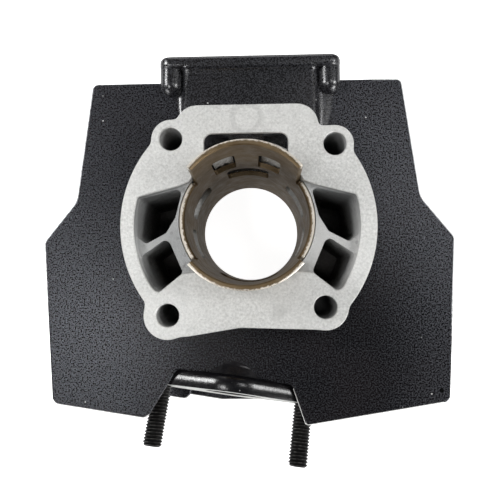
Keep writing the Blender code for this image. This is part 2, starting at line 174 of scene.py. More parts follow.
def loft(name, rings, finish=PAINTED):
    """Closed skin through rings of equal count, with flat ends."""
    mesh = bpy.data.meshes.new(name)
    bm = bmesh.new()
    loops = [[bm.verts.new(p) for p in ring] for ring in rings]
    count = len(rings[0])
    for low, high in zip(loops, loops[1:]):
        for i in range(count):
            j = (i + 1) % count
            bm.faces.new((low[i], low[j], high[j], high[i]))
    bm.faces.new(loops[0][::-1])
    bm.faces.new(loops[-1])
    bmesh.ops.remove_doubles(bm, verts=bm.verts, dist=0.002)
    bmesh.ops.recalc_face_normals(bm, faces=bm.faces)
    for face in bm.faces:
        face.material_index = finish
        face.smooth = True
    bm.to_mesh(mesh)
    bm.free()
    for each in finishes:
        mesh.materials.append(each)
    return placed(name, mesh)


def slab(name, outline, levels, finish=PAINTED, place=Matrix()):
    """Loft of one outline at (height, growth) levels along the Z of a place."""
    rings = [[place @ Vector((x, y, z)) for x, y in grown(outline, growth)] for z, growth in levels]
    return loft(name, rings, finish)


def rims(bottom, top, radius, steps=4):
    """Levels of a plate whose two rims are quarter rounds."""
    arc = [math.pi / 2 * k / steps for k in range(steps + 1)]
    low = [(bottom + radius * (1 - math.sin(a)), -radius * (1 - math.cos(a))) for a in reversed(arc)]
    return low + [(top - (z - bottom), growth) for z, growth in reversed(low)]


def countersunk(bottom, top, chamfer=0.35):
    """Levels of a cutter that leaves a small chamfer where it comes out at the top."""
    return [(bottom, 0.0), (top - chamfer, 0.0), (top + 1.0, 1.0 + chamfer)]


def applied(thing):
    """Mesh of an object with its modifiers applied."""
    return bpy.data.meshes.new_from_object(thing.evaluated_get(bpy.context.evaluated_depsgraph_get()))


def combine(body, tools, operation):
    """Join or cut a body with each tool in turn, then drop the tools."""
    for tool in tools:
        modifier = body.modifiers.new("combine", "BOOLEAN")
        modifier.operation = operation
        modifier.solver = "EXACT"
        modifier.object = tool
        result = applied(body)
        body.modifiers.remove(modifier)
        body.data = result
        bpy.data.objects.remove(tool)


def dressed(piece, cad_node, sharp=35.0):
    """Move a finished piece to the frame, give it clean shading and hide the solid it replaces."""
    piece.data.transform(TO_FRAME)
    piece.data.shade_smooth()
    piece.data.set_sharp_from_angle(angle=math.radians(sharp))
    weighted = piece.modifiers.new("weighted", "WEIGHTED_NORMAL")
    weighted.keep_sharp = True
    shaded = applied(piece)
    piece.modifiers.remove(weighted)
    piece.data = shaded
    piece.data.name = piece.name
    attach(piece, "root")
    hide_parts(cad_node)
    shaded.calc_loop_triangles()
    print(piece.name, "has", len(shaded.loop_triangles), "triangles")
    return piece


# %% [markdown]
# ## Effects shared by the finishes
# Real metal is never one even colour. Four small node groups make the effects that several
# finishes share: lumps (orange peel and casting skin), grit (separate light or dark specks),
# wear (a stored edge mask that breaks up) and scratches. They read Object coordinates, which
# are metres here, so a scale of 1000 gives details of about one millimetre.

# %% Shared shader groups
def new_group(name, inputs, outputs):
    """Empty shader group with named inputs and outputs."""
    group = bpy.data.node_groups.new(name, "ShaderNodeTree")
    for label, kind, value in inputs:
        socket = group.interface.new_socket(label, in_out="INPUT", socket_type="NodeSocket" + kind)
        if value is not None:
            socket.default_value = value
    for label in outputs:
        group.interface.new_socket(label, in_out="OUTPUT", socket_type="NodeSocketFloat")
    return group, group.nodes.new("NodeGroupInput"), group.nodes.new("NodeGroupOutput")


def feed(tree, socket, value):
    """Link a socket to another one, or set its value."""
    if isinstance(value, bpy.types.NodeSocket):
        tree.links.new(value, socket)
    else:
        socket.default_value = value


def node(tree, kind, settings=(), **values):
    """New node with settings and unlinked input values, or links where a socket is given."""
    made = tree.nodes.new(kind)
    for key, value in settings:
        setattr(made, key, value)
    for key, value in values.items():
        name = key.replace("_", " ")
        socket = made.inputs[int(name[1:])] if name[0] == "i" and name[1:].isdigit() else made.inputs[name]
        feed(tree, socket, value)
    return made


def calculate(tree, operation, first, second=0.0, clamp=False):
    """Math node on sockets or numbers."""
    return node(tree, "ShaderNodeMath", (("operation", operation), ("use_clamp", clamp)),
                i0=first, i1=second).outputs[0]


def span(tree, value, low, high, bottom=0.0, top=1.0):
    """Smooth step of a value from one range to another."""
    return node(tree, "ShaderNodeMapRange", (("interpolation_type", "SMOOTHSTEP"),), Value=value,
                From_Min=low, From_Max=high, To_Min=bottom, To_Max=top).outputs["Result"]


def blend_colours(tree, factor, first, second, share=None):
    """Mix of two colours, with the factor cut to a share where one is given."""
    if share is not None:
        factor = calculate(tree, "MULTIPLY", factor, share)
    made = tree.nodes.new("ShaderNodeMix")
    made.data_type = "RGBA"
    targets = [made.inputs[0], made.inputs[6], made.inputs[7]]
    for socket, value in zip(targets, (factor, first, second)):
        feed(tree, socket, value)
    return made.outputs[2]


def make_lumps():
    """Lumpy skin: two sizes of noise mixed into one height, and a slow drift of tone."""
    group, start, end = new_group("lumpy_skin", (("Vector", "Vector", None), ("Lump Scale", "Float", 400.0),
                                  ("Fine Scale", "Float", 1500.0), ("Fine Share", "Float", 0.4)),
                                  ("Height", "Drift"))
    coarse = node(group, "ShaderNodeTexNoise", Vector=start.outputs["Vector"], Scale=start.outputs["Lump Scale"],
                  Detail=2.0, Roughness=0.5)
    fine = node(group, "ShaderNodeTexNoise", Vector=start.outputs["Vector"], Scale=start.outputs["Fine Scale"],
                Detail=3.0, Roughness=0.6)
    drift = node(group, "ShaderNodeTexNoise", Vector=start.outputs["Vector"], Scale=38.0, Detail=3.0)
    share = calculate(group, "MULTIPLY", fine.outputs["Fac"], start.outputs["Fine Share"])
    group.links.new(calculate(group, "ADD", coarse.outputs["Fac"], share), end.inputs["Height"])
    group.links.new(drift.outputs["Fac"], end.inputs["Drift"])
    return group


def make_grit():
    """Separate round specks, one in each of a few cells."""
    group, start, end = new_group("grit", (("Vector", "Vector", None), ("Scale", "Float", 300.0),
                                  ("Size", "Float", 0.12), ("Share", "Float", 0.3)), ("Mask",))
    cells = node(group, "ShaderNodeTexVoronoi", Vector=start.outputs["Vector"], Scale=start.outputs["Scale"])
    tone = node(group, "ShaderNodeSeparateColor", Color=cells.outputs["Color"])
    dot = calculate(group, "LESS_THAN", cells.outputs["Distance"], start.outputs["Size"])
    chosen = calculate(group, "LESS_THAN", tone.outputs["Red"], start.outputs["Share"])
    group.links.new(calculate(group, "MULTIPLY", dot, chosen), end.inputs["Mask"])
    return group


def make_wear():
    """Edge wear: a stored mask that noise breaks into patches."""
    group, start, end = new_group("edge_wear", (("Vector", "Vector", None), ("Edge", "Float", 0.0),
                                  ("Scale", "Float", 900.0), ("Reach", "Float", 0.5)), ("Mask",))
    noise = node(group, "ShaderNodeTexNoise", Vector=start.outputs["Vector"], Scale=start.outputs["Scale"],
                 Detail=4.0, Roughness=0.65)
    ragged = calculate(group, "MULTIPLY", noise.outputs["Fac"], start.outputs["Reach"])
    total = calculate(group, "SUBTRACT", start.outputs["Edge"], ragged)
    group.links.new(span(group, total, 0.05, 0.45), end.inputs["Mask"])
    return group


def make_scratches():
    """Fine lines from noise stretched along one direction."""
    group, start, end = new_group("scratches", (("Vector", "Vector", None), ("Scale", "Float", 300.0),
                                  ("Share", "Float", 0.35)), ("Mask",))
    lines = node(group, "ShaderNodeTexNoise", Vector=start.outputs["Vector"], Scale=start.outputs["Scale"],
                 Detail=2.0, Roughness=0.5)
    low = calculate(group, "SUBTRACT", start.outputs["Share"], 0.07)
    fine = calculate(group, "SUBTRACT", lines.outputs["Fac"], low)
    group.links.new(calculate(group, "SUBTRACT", 1.0, span(group, fine, 0.0, 0.07)), end.inputs["Mask"])
    return group


lumps, grit, wear, scratches = make_lumps(), make_grit(), make_wear(), make_scratches()
print("shader groups:", [g.name for g in (lumps, grit, wear, scratches)])


def use(tree, group, **values):
    """Place a shared group in a material with its own values."""
    made = tree.nodes.new("ShaderNodeGroup")
    made.node_tree = group
    for key, value in values.items():
        feed(tree, made.inputs[key.replace("_", " ")], value)
    return made.outputs


def new_finish(name, roughness, metallic, specular=0.5):
    """Material with its Principled shader and the object's own coordinates."""
    made = bpy.data.materials.new(name)
    made.use_nodes = True
    tree = made.node_tree
    shader = tree.nodes["Principled BSDF"]
    shader.inputs["Roughness"].default_value = roughness
    shader.inputs["Metallic"].default_value = metallic
    shader.inputs["Specular IOR Level"].default_value = specular
    place = tree.nodes.new("ShaderNodeTexCoord").outputs["Object"]
    return made, tree, shader, place


def bump(tree, shader, height, distance, strength=1.0):
    """Raise the surface by a height pattern; distance is metres for a height of one."""
    made = node(tree, "ShaderNodeBump", Strength=strength, Distance=distance, Height=height)
    tree.links.new(made.outputs["Normal"], shader.inputs["Normal"])


def stretched(tree, place, scale, turn=(0.0, 0.0, 0.0), shift=(0.0, 0.0, 0.0)):
    """Coordinates scaled differently along each axis, for brushed or drawn patterns."""
    return node(tree, "ShaderNodeMapping", Vector=place, Location=shift, Rotation=turn, Scale=scale).outputs[0]


# %% [markdown]
# ## Black powder coat
# The coat is thin and baked on rough cast metal. It has fine lumps of about half a millimetre
# whose tops are painted paler and more metallic, a painted sheen, small pale chips where grit
# broke the skin, and bare metal along handled edges, which on the right edge of the top fin is
# also a painted highlight. Near the exhaust the lump tops are painted less pale, a patch of
# painted shade. The edge mask is a number stored on the mesh, so wear follows the real rims.
# The two ducts wear smoother mixes of the same coat.

# %% Powder coat
# Centre of a patch of painted shade on the top fin, where the lump tops are painted less pale.
PAINTED_SHADE_PLACE = BORE_AXIS + Vector((18.0, -58.0, 60.0)) * MM


def make_powder_coat(name, roughness, depth, tops_sheen, specular, grain=0.0006):
    """Black coat; grain is the size of its lumps, depth how far they stand out, and the third number how pale
    their lump tops are painted, a painted sheen.
    """
    made, tree, shader, place = new_finish(name, roughness, 0.0, specular)
    skin = use(tree, lumps, Vector=place, Lump_Scale=1.0 / grain, Fine_Scale=2.1 / grain, Fine_Share=0.5)
    chips = use(tree, grit, Vector=place, Scale=260.0, Size=0.075, Share=0.34)["Mask"]
    patchy = node(tree, "ShaderNodeTexNoise", Vector=place, Scale=22.0, Detail=2.0).outputs["Fac"]
    chips = calculate(tree, "MULTIPLY", chips, span(tree, patchy, 0.42, 0.62))
    pits = use(tree, grit, Vector=place, Scale=95.0, Size=0.09, Share=0.08)["Mask"]
    edge = node(tree, "ShaderNodeAttribute", (("attribute_name", "rim"),)).outputs["Fac"]
    # The pale rim from the stored mask is edge wear, and on the right edge of the top fin also a painted
    # highlight.
    bare = use(tree, wear, Vector=place, Edge=edge, Scale=700.0, Reach=0.7)["Mask"]
    tone = span(tree, skin["Drift"], 0.3, 0.7)
    colour = blend_colours(tree, tone, (0.002, 0.002, 0.0026, 1), (0.005, 0.0038, 0.0042, 1))
    shade_distance = node(tree, "ShaderNodeVectorMath", (("operation", "DISTANCE"),), i0=place, i1=PAINTED_SHADE_PLACE)
    # Lump tops are painted paler and more metallic: a painted sheen.
    sheen_tops = span(tree, skin["Height"], 0.64, 1.0)
    # Near that patch the painted sheen is cut down: painted shade.
    sheen_tops = calculate(tree, "MULTIPLY", sheen_tops, span(tree, shade_distance.outputs["Value"], 0.03, 0.07, 0.25 * tops_sheen, tops_sheen))
    colour = blend_colours(tree, sheen_tops, colour, (0.15, 0.155, 0.175, 1))
    colour = blend_colours(tree, chips, colour, (0.5, 0.5, 0.49, 1))
    colour = blend_colours(tree, pits, colour, (0.002, 0.002, 0.002, 1))
    colour = blend_colours(tree, bare, colour, (0.72, 0.73, 0.74, 1))
    tree.links.new(colour, shader.inputs["Base Color"])
    rough = span(tree, skin["Height"], 0.4, 0.9, roughness - 0.06, roughness + 0.08)
    rough = calculate(tree, "ADD", rough, calculate(tree, "MULTIPLY", chips, 0.3))
    tree.links.new(rough, shader.inputs["Roughness"])
    shine = calculate(tree, "SUBTRACT", sheen_tops, calculate(tree, "MULTIPLY", bare, 0.65))
    tree.links.new(calculate(tree, "ADD", shine, 0.0, clamp=True), shader.inputs["Metallic"])
    height = calculate(tree, "SUBTRACT", skin["Height"], calculate(tree, "MULTIPLY", pits, 1.5))
    bump(tree, shader, height, depth)
    return made


# %% [markdown]
# ## Cast and machined aluminium
# Inside the transfer windows the metal is as it left the sand core: grey, dull and grainy.
# Deeper down its colour is painted darker, as painted shade.
# The gasket faces were milled and then lightly blasted, so they are pale and matte with fine
# specks, faint clouds and scratches, and one faint round witness mark of the ejector.

# %% Cast and machined aluminium
WITNESS_MARK = (0.2, 38.2)
WITNESS_RADIUS = 5.3
# Heights between which the cast colour fades to painted shade, darker further below the base face.
UNSHADED_HEIGHT = 68.5
FULL_SHADE_HEIGHT = 42.0


def make_cast_aluminium():
    made, tree, shader, place = new_finish("core_cast_aluminium", 0.62, 0.3)
    skin = use(tree, lumps, Vector=place, Lump_Scale=900.0, Fine_Scale=2600.0, Fine_Share=0.6)
    tone = span(tree, skin["Drift"], 0.3, 0.7)
    colour = blend_colours(tree, tone, (0.34, 0.345, 0.345, 1), (0.52, 0.52, 0.51, 1))
    grime = use(tree, grit, Vector=place, Scale=420.0, Size=0.3, Share=0.25)["Mask"]
    colour = blend_colours(tree, grime, colour, (0.16, 0.155, 0.15, 1), 0.3)
    # Painted shade: the colour is darkened with depth in the windows, ports and holes.
    height = node(tree, "ShaderNodeSeparateXYZ", Vector=place).outputs["Z"]
    depth_shade = span(tree, height, UNSHADED_HEIGHT * MM, FULL_SHADE_HEIGHT * MM)
    colour = blend_colours(tree, depth_shade, colour, (0.03, 0.027, 0.025, 1))
    tree.links.new(colour, shader.inputs["Base Color"])
    tree.links.new(span(tree, skin["Height"], 0.4, 1.1, 0.5, 0.75), shader.inputs["Roughness"])
    bump(tree, shader, skin["Height"], 0.00035)
    return made


def make_machined_aluminium():
    made, tree, shader, place = new_finish("machined_aluminium", 0.55, 0.45)
    skin = use(tree, lumps, Vector=place, Lump_Scale=1100.0, Fine_Scale=3200.0, Fine_Share=0.8)
    tone = span(tree, skin["Drift"], 0.25, 0.75)
    colour = blend_colours(tree, tone, (0.46, 0.46, 0.445, 1), (0.6, 0.6, 0.58, 1))
    mottle = span(tree, skin["Height"], 0.45, 1.35)
    colour = blend_colours(tree, mottle, colour, (0.82, 0.82, 0.8, 1), 0.85)
    speck = use(tree, grit, Vector=place, Scale=1100.0, Size=0.4, Share=0.35)["Mask"]
    colour = blend_colours(tree, speck, colour, (0.24, 0.24, 0.235, 1), 0.1)
    cloud = node(tree, "ShaderNodeTexNoise", Vector=place, Scale=75.0, Detail=4.0, Roughness=0.6).outputs["Fac"]
    colour = blend_colours(tree, span(tree, cloud, 0.56, 0.74, 0.0, 0.28), colour, (0.26, 0.26, 0.25, 1))
    line = stretched(tree, place, (0.25, 3.0, 1.0), turn=(0.0, 0.0, 0.9))
    marks = use(tree, scratches, Vector=line, Scale=420.0, Share=0.27)["Mask"]
    colour = blend_colours(tree, marks, colour, (0.72, 0.71, 0.69, 1), 0.3)
    centre = Vector((WITNESS_MARK[0], WITNESS_MARK[1], 0.0)) * MM + BORE_AXIS
    moved = node(tree, "ShaderNodeVectorMath", (("operation", "SUBTRACT"),), i0=place,
                 i1=(*centre.xy, BASE_FACE * MM))
    reach = node(tree, "ShaderNodeVectorMath", (("operation", "LENGTH"),), i0=moved.outputs[0]).outputs["Value"]
    ring = calculate(tree, "ABSOLUTE", calculate(tree, "SUBTRACT", reach, WITNESS_RADIUS * MM))
    witness = span(tree, ring, 0.0003, 0.0016, 1.0, 0.0)
    colour = blend_colours(tree, witness, colour, (0.3, 0.298, 0.292, 1), 0.22)
    tree.links.new(colour, shader.inputs["Base Color"])
    tree.links.new(span(tree, skin["Height"], 0.5, 1.3, 0.46, 0.64), shader.inputs["Roughness"])
    bump(tree, shader, calculate(tree, "SUBTRACT", skin["Height"], marks), 0.00009)
    return made


finishes += [make_powder_coat("black_powder_coat", 0.18, 0.0001, 0.9, 0.2), make_cast_aluminium(),
             make_machined_aluminium(), make_powder_coat("black_gloss_coat", 0.17, 0.00003, 0.22, 0.6),
             make_powder_coat("black_satin_coat", 0.22, 0.00004, 0.4, 0.9)]
print("casting finishes:", [f.name for f in finishes])

# %% [markdown]
# ## Barrel and base flange
# The barrel is a round wall with four columns for the long crankcase studs, and it bulges
# sideways where the transfer passages run. Its outline is drawn with rays from the bore: at each
# angle the metal reaches as far as the farthest of the wall, the columns and the bulge. Where a
# fin leaves the wall, the wall swells in a small cove, as the sand mould's rounded edge leaves it.

# %% Outline of the barrel and of the base flange
STUD_HOLE_RADIUS = 4.3
STUD_HOLES = [(-28.0, 30.6), (33.0, 27.9), (-29.5, -34.9), (28.5, -32.4)]
LOBE_RADII = [7.4, 7.0, 9.0, 8.5]
COLUMN_RADIUS = 8.0
FLANGE_CENTRE = (0.5, -2.0)
FLANGE_RADIUS = 47.5
SHOULDER_Y = 34.8
HUMP_Y = 43.2
HUMP_CORNERS = [(-18.3, 35.2), (19.0, 35.2)]
HUMP_CORNER_RADIUS = 8.0
FLANGE_FRONT = [(-24.9, -43.1), (-2.9, -39.6), (27.3, -40.6)]
BARREL_RADIUS = 33.0
TRANSFER_BULGE_RADIUS = 45.0
TRANSFER_BULGE_Y = (-28.0, 17.0)
TRANSFER_BULGE_START = 28.0
FIN_PITCH = 9.0
FIN_THICKNESS = 3.0
FIN_TOPS = [60.0 - FIN_PITCH * i for i in range(6)]
COVE = 1.6


def ray_circle(angle, centre, radius):
    """How far a ray from the bore axis reaches before it leaves a circle."""
    a = math.radians(angle)
    along = centre[0] * math.cos(a) + centre[1] * math.sin(a)
    across = centre[0] * math.sin(a) - centre[1] * math.cos(a)
    return 0.0 if abs(across) > radius else max(0.0, along + math.sqrt(radius ** 2 - across ** 2))


def ray_line(angle, start, end):
    """How far a ray from the bore axis runs to the line through two points."""
    a = math.radians(angle)
    edge = (end[0] - start[0], end[1] - start[1])
    cross = math.cos(a) * edge[1] - math.sin(a) * edge[0]
    reach = (start[0] * edge[1] - start[1] * edge[0]) / cross if abs(cross) > 1e-9 else -1.0
    return reach if reach > 0 else math.inf


def base_flange_reach(angle):
    """A clipped disc, the hump over the intake and four stud lobes."""
    body = ray_circle(angle, FLANGE_CENTRE, FLANGE_RADIUS)
    reaches = []
    if math.sin(math.radians(angle)) > 0:
        body = min(body, ray_line(angle, (-1.0, SHOULDER_Y), (1.0, SHOULDER_Y)))
        top = ray_line(angle, (-1.0, HUMP_Y), (1.0, HUMP_Y))
        if HUMP_CORNERS[0][0] < top * math.cos(math.radians(angle)) < HUMP_CORNERS[1][0]:
            reaches.append(top)
    else:
        left, middle, right = FLANGE_FRONT
        front = ray_line(angle, middle, right)
        if front * math.cos(math.radians(angle)) < middle[0]:
            front = ray_line(angle, left, middle)
        body = min(body, front)
    reaches.append(body)
    reaches += [ray_circle(angle, corner, HUMP_CORNER_RADIUS) for corner in HUMP_CORNERS]
    reaches += [ray_circle(angle, hole, radius) for hole, radius in zip(STUD_HOLES, LOBE_RADII)]
    return max(reaches)


def column_reach(angle):
    """Round wall and the four stud columns."""
    return max([BARREL_RADIUS] + [ray_circle(angle, hole, COLUMN_RADIUS) for hole in STUD_HOLES])


def bulged_reach(angle):
    """Wall and columns, and the transfer passages' bulge to both sides."""
    side = 1 if math.sin(math.radians(angle)) > 0 else 0
    limit = TRANSFER_BULGE_Y[side]
    bulge = ray_circle(angle, FLANGE_CENTRE, TRANSFER_BULGE_RADIUS)
    return max(column_reach(angle), min(bulge, ray_line(angle, (-1.0, limit), (1.0, limit))))


def ray_slab(name, reach, sides, levels, softening=1):
    """Slab of an outline with one point per ray. It grows along the rays, so no corner can fold."""
    reaches = [reach(360.0 * i / sides) for i in range(sides)]
    for _ in range(softening):
        reaches = [(reaches[i - 1] + 2 * reaches[i] + reaches[(i + 1) % sides]) / 4 for i in range(sides)]
    rings = [[(*polar(360.0 * i / sides, r + growth), z) for i, r in enumerate(reaches)]
             for z, growth in levels]
    return loft(name, rings)


def coved(bottom, top, plates):
    """Levels of a wall from bottom to top that swells at each plate it carries."""
    steps = ((COVE, 0.0), (COVE * 0.5, COVE * 0.18), (COVE * 0.15, COVE * 0.52), (-0.2, COVE))
    levels = {bottom: 0.0, top: 0.0}
    for plate_bottom, plate_top in plates:
        for away, growth in steps:
            for z in (plate_bottom - away, plate_top + away):
                if bottom < z < top:
                    levels[z] = growth
    return sorted(levels.items())


# %% Barrel solids
DECK = (1.0, 6.0)
fin_plates = [(top - FIN_THICKNESS, top) for top in FIN_TOPS]
casting = ray_slab("cylinder_casting_skin", column_reach, 240, coved(0.0, 29.0, fin_plates[4:] + [DECK]))
bulged = ray_slab("bulged_wall", bulged_reach, 240, coved(TRANSFER_BULGE_START, 66.0, fin_plates[:4]))
base_levels = [(BASE_FACE - BASE_FLANGE_THICKNESS, -1.0), (BASE_FACE - BASE_FLANGE_THICKNESS + 0.3, -0.35),
               (BASE_FACE - BASE_FLANGE_THICKNESS + 1.0, 0.0), (BASE_FACE - 0.3, 0.0), (BASE_FACE, -0.3)]
base = ray_slab("base_flange", base_flange_reach, 360, base_levels, 2)
combine(casting, [bulged, base], "UNION")
print("barrel faces:", len(casting.data.polygons))

# %% [markdown]
# ## Cooling fins
# Six thin plates stand on the barrel at one pitch, and the air runs between them. They share one
# broad outline, drawn in to a waist on the intake side. The ones near the exhaust flange are cut
# away so that a spanner can reach the nuts. A Geometry Nodes tree repeats one plate at the pitch,
# so the number of fins and their spacing stay two plain inputs.

# %% Exhaust axis, used by the fins' notch and by the exhaust itself
EXHAUST_AXIS_POINT = Vector((2.5, 0.0, 27.0))
EXHAUST_YAW = math.radians(8.0)
EXHAUST_RISE = math.radians(16.0)
EXHAUST_FACE = 73.2
EXHAUST_FLANGE_THICKNESS = 6.4


def exhaust_frame():
    """Axes of the exhaust: X across the studs, Y up the flange, Z outwards."""
    outward = Vector((-math.sin(EXHAUST_YAW) * math.cos(EXHAUST_RISE),
                      -math.cos(EXHAUST_YAW) * math.cos(EXHAUST_RISE), math.sin(EXHAUST_RISE)))
    across = Vector((math.cos(EXHAUST_YAW), -math.sin(EXHAUST_YAW), 0.0))
    turn = Matrix((across, outward.cross(across), outward)).transposed().to_4x4()
    return Matrix.Translation(EXHAUST_AXIS_POINT) @ turn


EXHAUST = exhaust_frame()

# %% Fin outlines
FIN_BACK = (61.5, 56.5)
FIN_WAIST = (68.0, 9.5)
FIN_SIDE = (80.8, -6.4)
FIN_FRONT = (77.2, -70.0)
FIN_APEX_Y = -82.5
FIN_FLAT_Y = -80.2
FIN_CORNERS = [2.5, 9.0, 4.0, 3.0]


def fin_edge_y(x):
    """Front edge of a fin: a shallow V with its point on the exhaust side."""
    return FIN_APEX_Y + (FIN_FRONT[1] - FIN_APEX_Y) / FIN_FRONT[0] * abs(x)


def notch_corner(across, out, height):
    """Point at a height, given by its place across and out along the exhaust."""
    start = EXHAUST @ Vector((across, 0.0, out))
    up_axis = EXHAUST.to_3x3().col[1]
    point = start + up_axis * (height - start.z) / up_axis.z
    return (point.x, point.y)


def fin_outline(top, tips=None, inner=0.0, depth=0.0):
    """Fin outline, plain or with a notch for the exhaust flange."""
    right = [FIN_BACK, FIN_WAIST, FIN_SIDE, FIN_FRONT]
    left = [(-x, y) for x, y in reversed(right)]
    if tips is None:
        flat = (FIN_FLAT_Y - FIN_APEX_Y) / ((FIN_FRONT[1] - FIN_APEX_Y) / FIN_FRONT[0])
        middle = [(flat, FIN_FLAT_Y), (-flat, FIN_FLAT_Y)]
        return rounded(right + middle + left, FIN_CORNERS + [0.0, 0.0] + FIN_CORNERS[::-1])
    notch = [(tips[0], fin_edge_y(tips[0])), notch_corner(inner, depth, top),
             notch_corner(-inner, depth, top), (tips[1], fin_edge_y(tips[1]))]
    return rounded(right + notch + left, FIN_CORNERS + [1.5, 2.5, 2.5, 3.0] + FIN_CORNERS[::-1])


# %% The fin stack tree
def make_fin_tree():
    """Geometry Nodes tree that repeats a plate along Z at a pitch."""
    tree = bpy.data.node_groups.new("fin_stack", "GeometryNodeTree")
    sockets = {}
    for label, kind in (("Plate", "Geometry"), ("Fins", "Int"), ("Pitch", "Float"), ("Finish", "Material")):
        made = tree.interface.new_socket(label, in_out="INPUT", socket_type="NodeSocket" + kind)
        sockets[label] = made.identifier
    tree.interface.new_socket("Stack", in_out="OUTPUT", socket_type="NodeSocketGeometry")
    start, end = tree.nodes.new("NodeGroupInput"), tree.nodes.new("NodeGroupOutput")
    step = node(tree, "ShaderNodeCombineXYZ", Z=start.outputs["Pitch"])
    line = node(tree, "GeometryNodeMeshLine", Count=start.outputs["Fins"], Offset=step.outputs[0])
    points = node(tree, "GeometryNodeMeshToPoints", Mesh=line.outputs[0])
    copies = node(tree, "GeometryNodeInstanceOnPoints", Points=points.outputs[0],
                  Instance=start.outputs["Plate"])
    real = node(tree, "GeometryNodeRealizeInstances", Geometry=copies.outputs[0])
    painted = node(tree, "GeometryNodeSetMaterial", Geometry=real.outputs[0], Material=start.outputs["Finish"])
    tree.links.new(painted.outputs[0], end.inputs[0])
    return tree, sockets


fin_tree, fin_sockets = make_fin_tree()


def grow_by_tree(thing, tree, sockets, values, slots):
    """Apply a Geometry Nodes tree to an object, with its inputs, and give it its slots."""
    grower = thing.modifiers.new("grower", "NODES")
    grower.node_group = tree
    for label, value in values.items():
        grower[sockets[label]] = value
    made = applied(thing)
    thing.modifiers.remove(grower)
    thing.data = made
    made.materials.clear()
    for each in slots:
        made.materials.append(each)
    return thing


def fin_stack(name, outline, lowest_top, count, rim=0.9):
    """A run of equal fins, the first with its top at a height."""
    levels = rims(lowest_top - FIN_THICKNESS, lowest_top, rim)
    plate = slab(name, outline, levels)
    values = {"Fins": count, "Pitch": FIN_PITCH, "Finish": finishes[PAINTED]}
    return grow_by_tree(plate, fin_tree, fin_sockets, values, finishes)


flange_back = EXHAUST_FACE - EXHAUST_FLANGE_THICKNESS + 0.6
notched = fin_stack("notched_fin", fin_outline(FIN_TOPS[0], (21.6, -40.2), 22.5, flange_back), FIN_TOPS[0], 1)
middle_fins = fin_stack("middle_fins", fin_outline(FIN_TOPS[1], (38.0, -56.0), 39.0, flange_back),
                        FIN_TOPS[3], 3)
upper_fin = fin_stack("upper_fin", fin_outline(FIN_TOPS[4], (18.5, -29.2), 19.0, EXHAUST_FACE - 3.0),
                      FIN_TOPS[4], 1)
last_fin = fin_stack("last_fin", fin_outline(FIN_TOPS[5]), FIN_TOPS[5], 1)
deck = slab("head_deck", fin_outline(DECK[1]), rims(*DECK, 1.2))
combine(casting, [notched, middle_fins, upper_fin, last_fin, deck], "UNION")
print("barrel and fins, faces:", len(casting.data.polygons))

# %% [markdown]
# ## Intake duct
# The reed block bolts to a flat plate at the end of a box-shaped duct. Behind the plate are four
# screw bosses with round ends, and a hollow fillet leads from the duct's flanks on to the fin.
# The duct is lofted along its length, so the fillet can fade out towards the base flange.

# %% Intake solids
INTAKE_CENTRE_X = 1.6
INTAKE_PLATE_THICKNESS = 4.4
INTAKE_PLATE_HALF_WIDTH = 35.5
INTAKE_PLATE_Z = (15.0, 65.5)
INTAKE_PLATE_CORNER = 4.5
INTAKE_DUCT_HALF_WIDTH = 26.0
INTAKE_DUCT_Z = (20.0, 63.5)
INTAKE_SCREWS = [(INTAKE_CENTRE_X + side * 31.2, z) for side in (-1, 1) for z in (20.5, 60.0)]
INTAKE_BOSS_RADIUS = 4.4
INTAKE_BOSS_START_Y = 50.4
INTAKE_SCREW_RADIUS = 2.1
INTAKE_SCREW_DEPTH = 12.0


def along_y(depth):
    """Place whose Z runs along +Y from a depth; its X stays X and its Y is the part's -Z."""
    return Matrix.Translation((0.0, depth, 0.0)) @ Matrix.Rotation(math.radians(-90.0), 4, "X")


def duct_section(flare):
    """Duct section in X and Z, with hollow flanks that meet the fin, the left one half as wide."""
    fin_top = FIN_TOPS[0]
    top = INTAKE_DUCT_Z[1]
    half = INTAKE_DUCT_HALF_WIDTH
    side = [(half - 2.0, top), (half - 0.7, top - 0.25), (half, top - 1.0)]
    for k in range(1, 6):
        a = math.pi / 2 * k / 5
        side.append((half + flare * (1 - math.cos(a)), top - 1.0 - (top - 1.0 - fin_top) * math.sin(a)))
    side += [(half + flare, fin_top - 2.0), (half, fin_top - 2.4), (half, INTAKE_DUCT_Z[0] + 3.0),
             (half - 0.9, INTAKE_DUCT_Z[0] + 0.9), (half - 3.0, INTAKE_DUCT_Z[0])]
    far = [(half + (x - half) * 0.5, z) if x > half else (x, z) for x, z in side]
    return side + [(-x, z) for x, z in reversed(far)]


plate_back = INTAKE_FACE_Y - INTAKE_PLATE_THICKNESS
duct_rings = [[(INTAKE_CENTRE_X + x, y, z) for x, z in duct_section(flare)]
              for y, flare in ((20.0, 1.0), (30.0, 2.4), (38.0, 4.4), (46.0, 6.4), (52.0, 7.0),
                               (plate_back + 1.0, 7.0))]
duct = loft("intake_duct", duct_rings, SATIN)
plate_box = box_outline(INTAKE_CENTRE_X, INTAKE_PLATE_HALF_WIDTH, -INTAKE_PLATE_Z[1], -INTAKE_PLATE_Z[0])
plate_outline = rounded(plate_box, INTAKE_PLATE_CORNER, 8)
plate_levels = [(0.0, -1.4), (0.12, -0.9), (0.5, -0.4), (1.2, 0.0), (INTAKE_PLATE_THICKNESS - 1.5, 0.0),
                (INTAKE_PLATE_THICKNESS - 0.8, -0.2), (INTAKE_PLATE_THICKNESS - 0.3, -0.6),
                (INTAKE_PLATE_THICKNESS, -1.2)]
plate = slab("intake_plate", plate_outline, plate_levels, SATIN, along_y(plate_back))
duct_box = box_outline(INTAKE_CENTRE_X, INTAKE_DUCT_HALF_WIDTH, -INTAKE_DUCT_Z[1], -INTAKE_DUCT_Z[0])
fillet_outline = rounded(duct_box, 2.5)
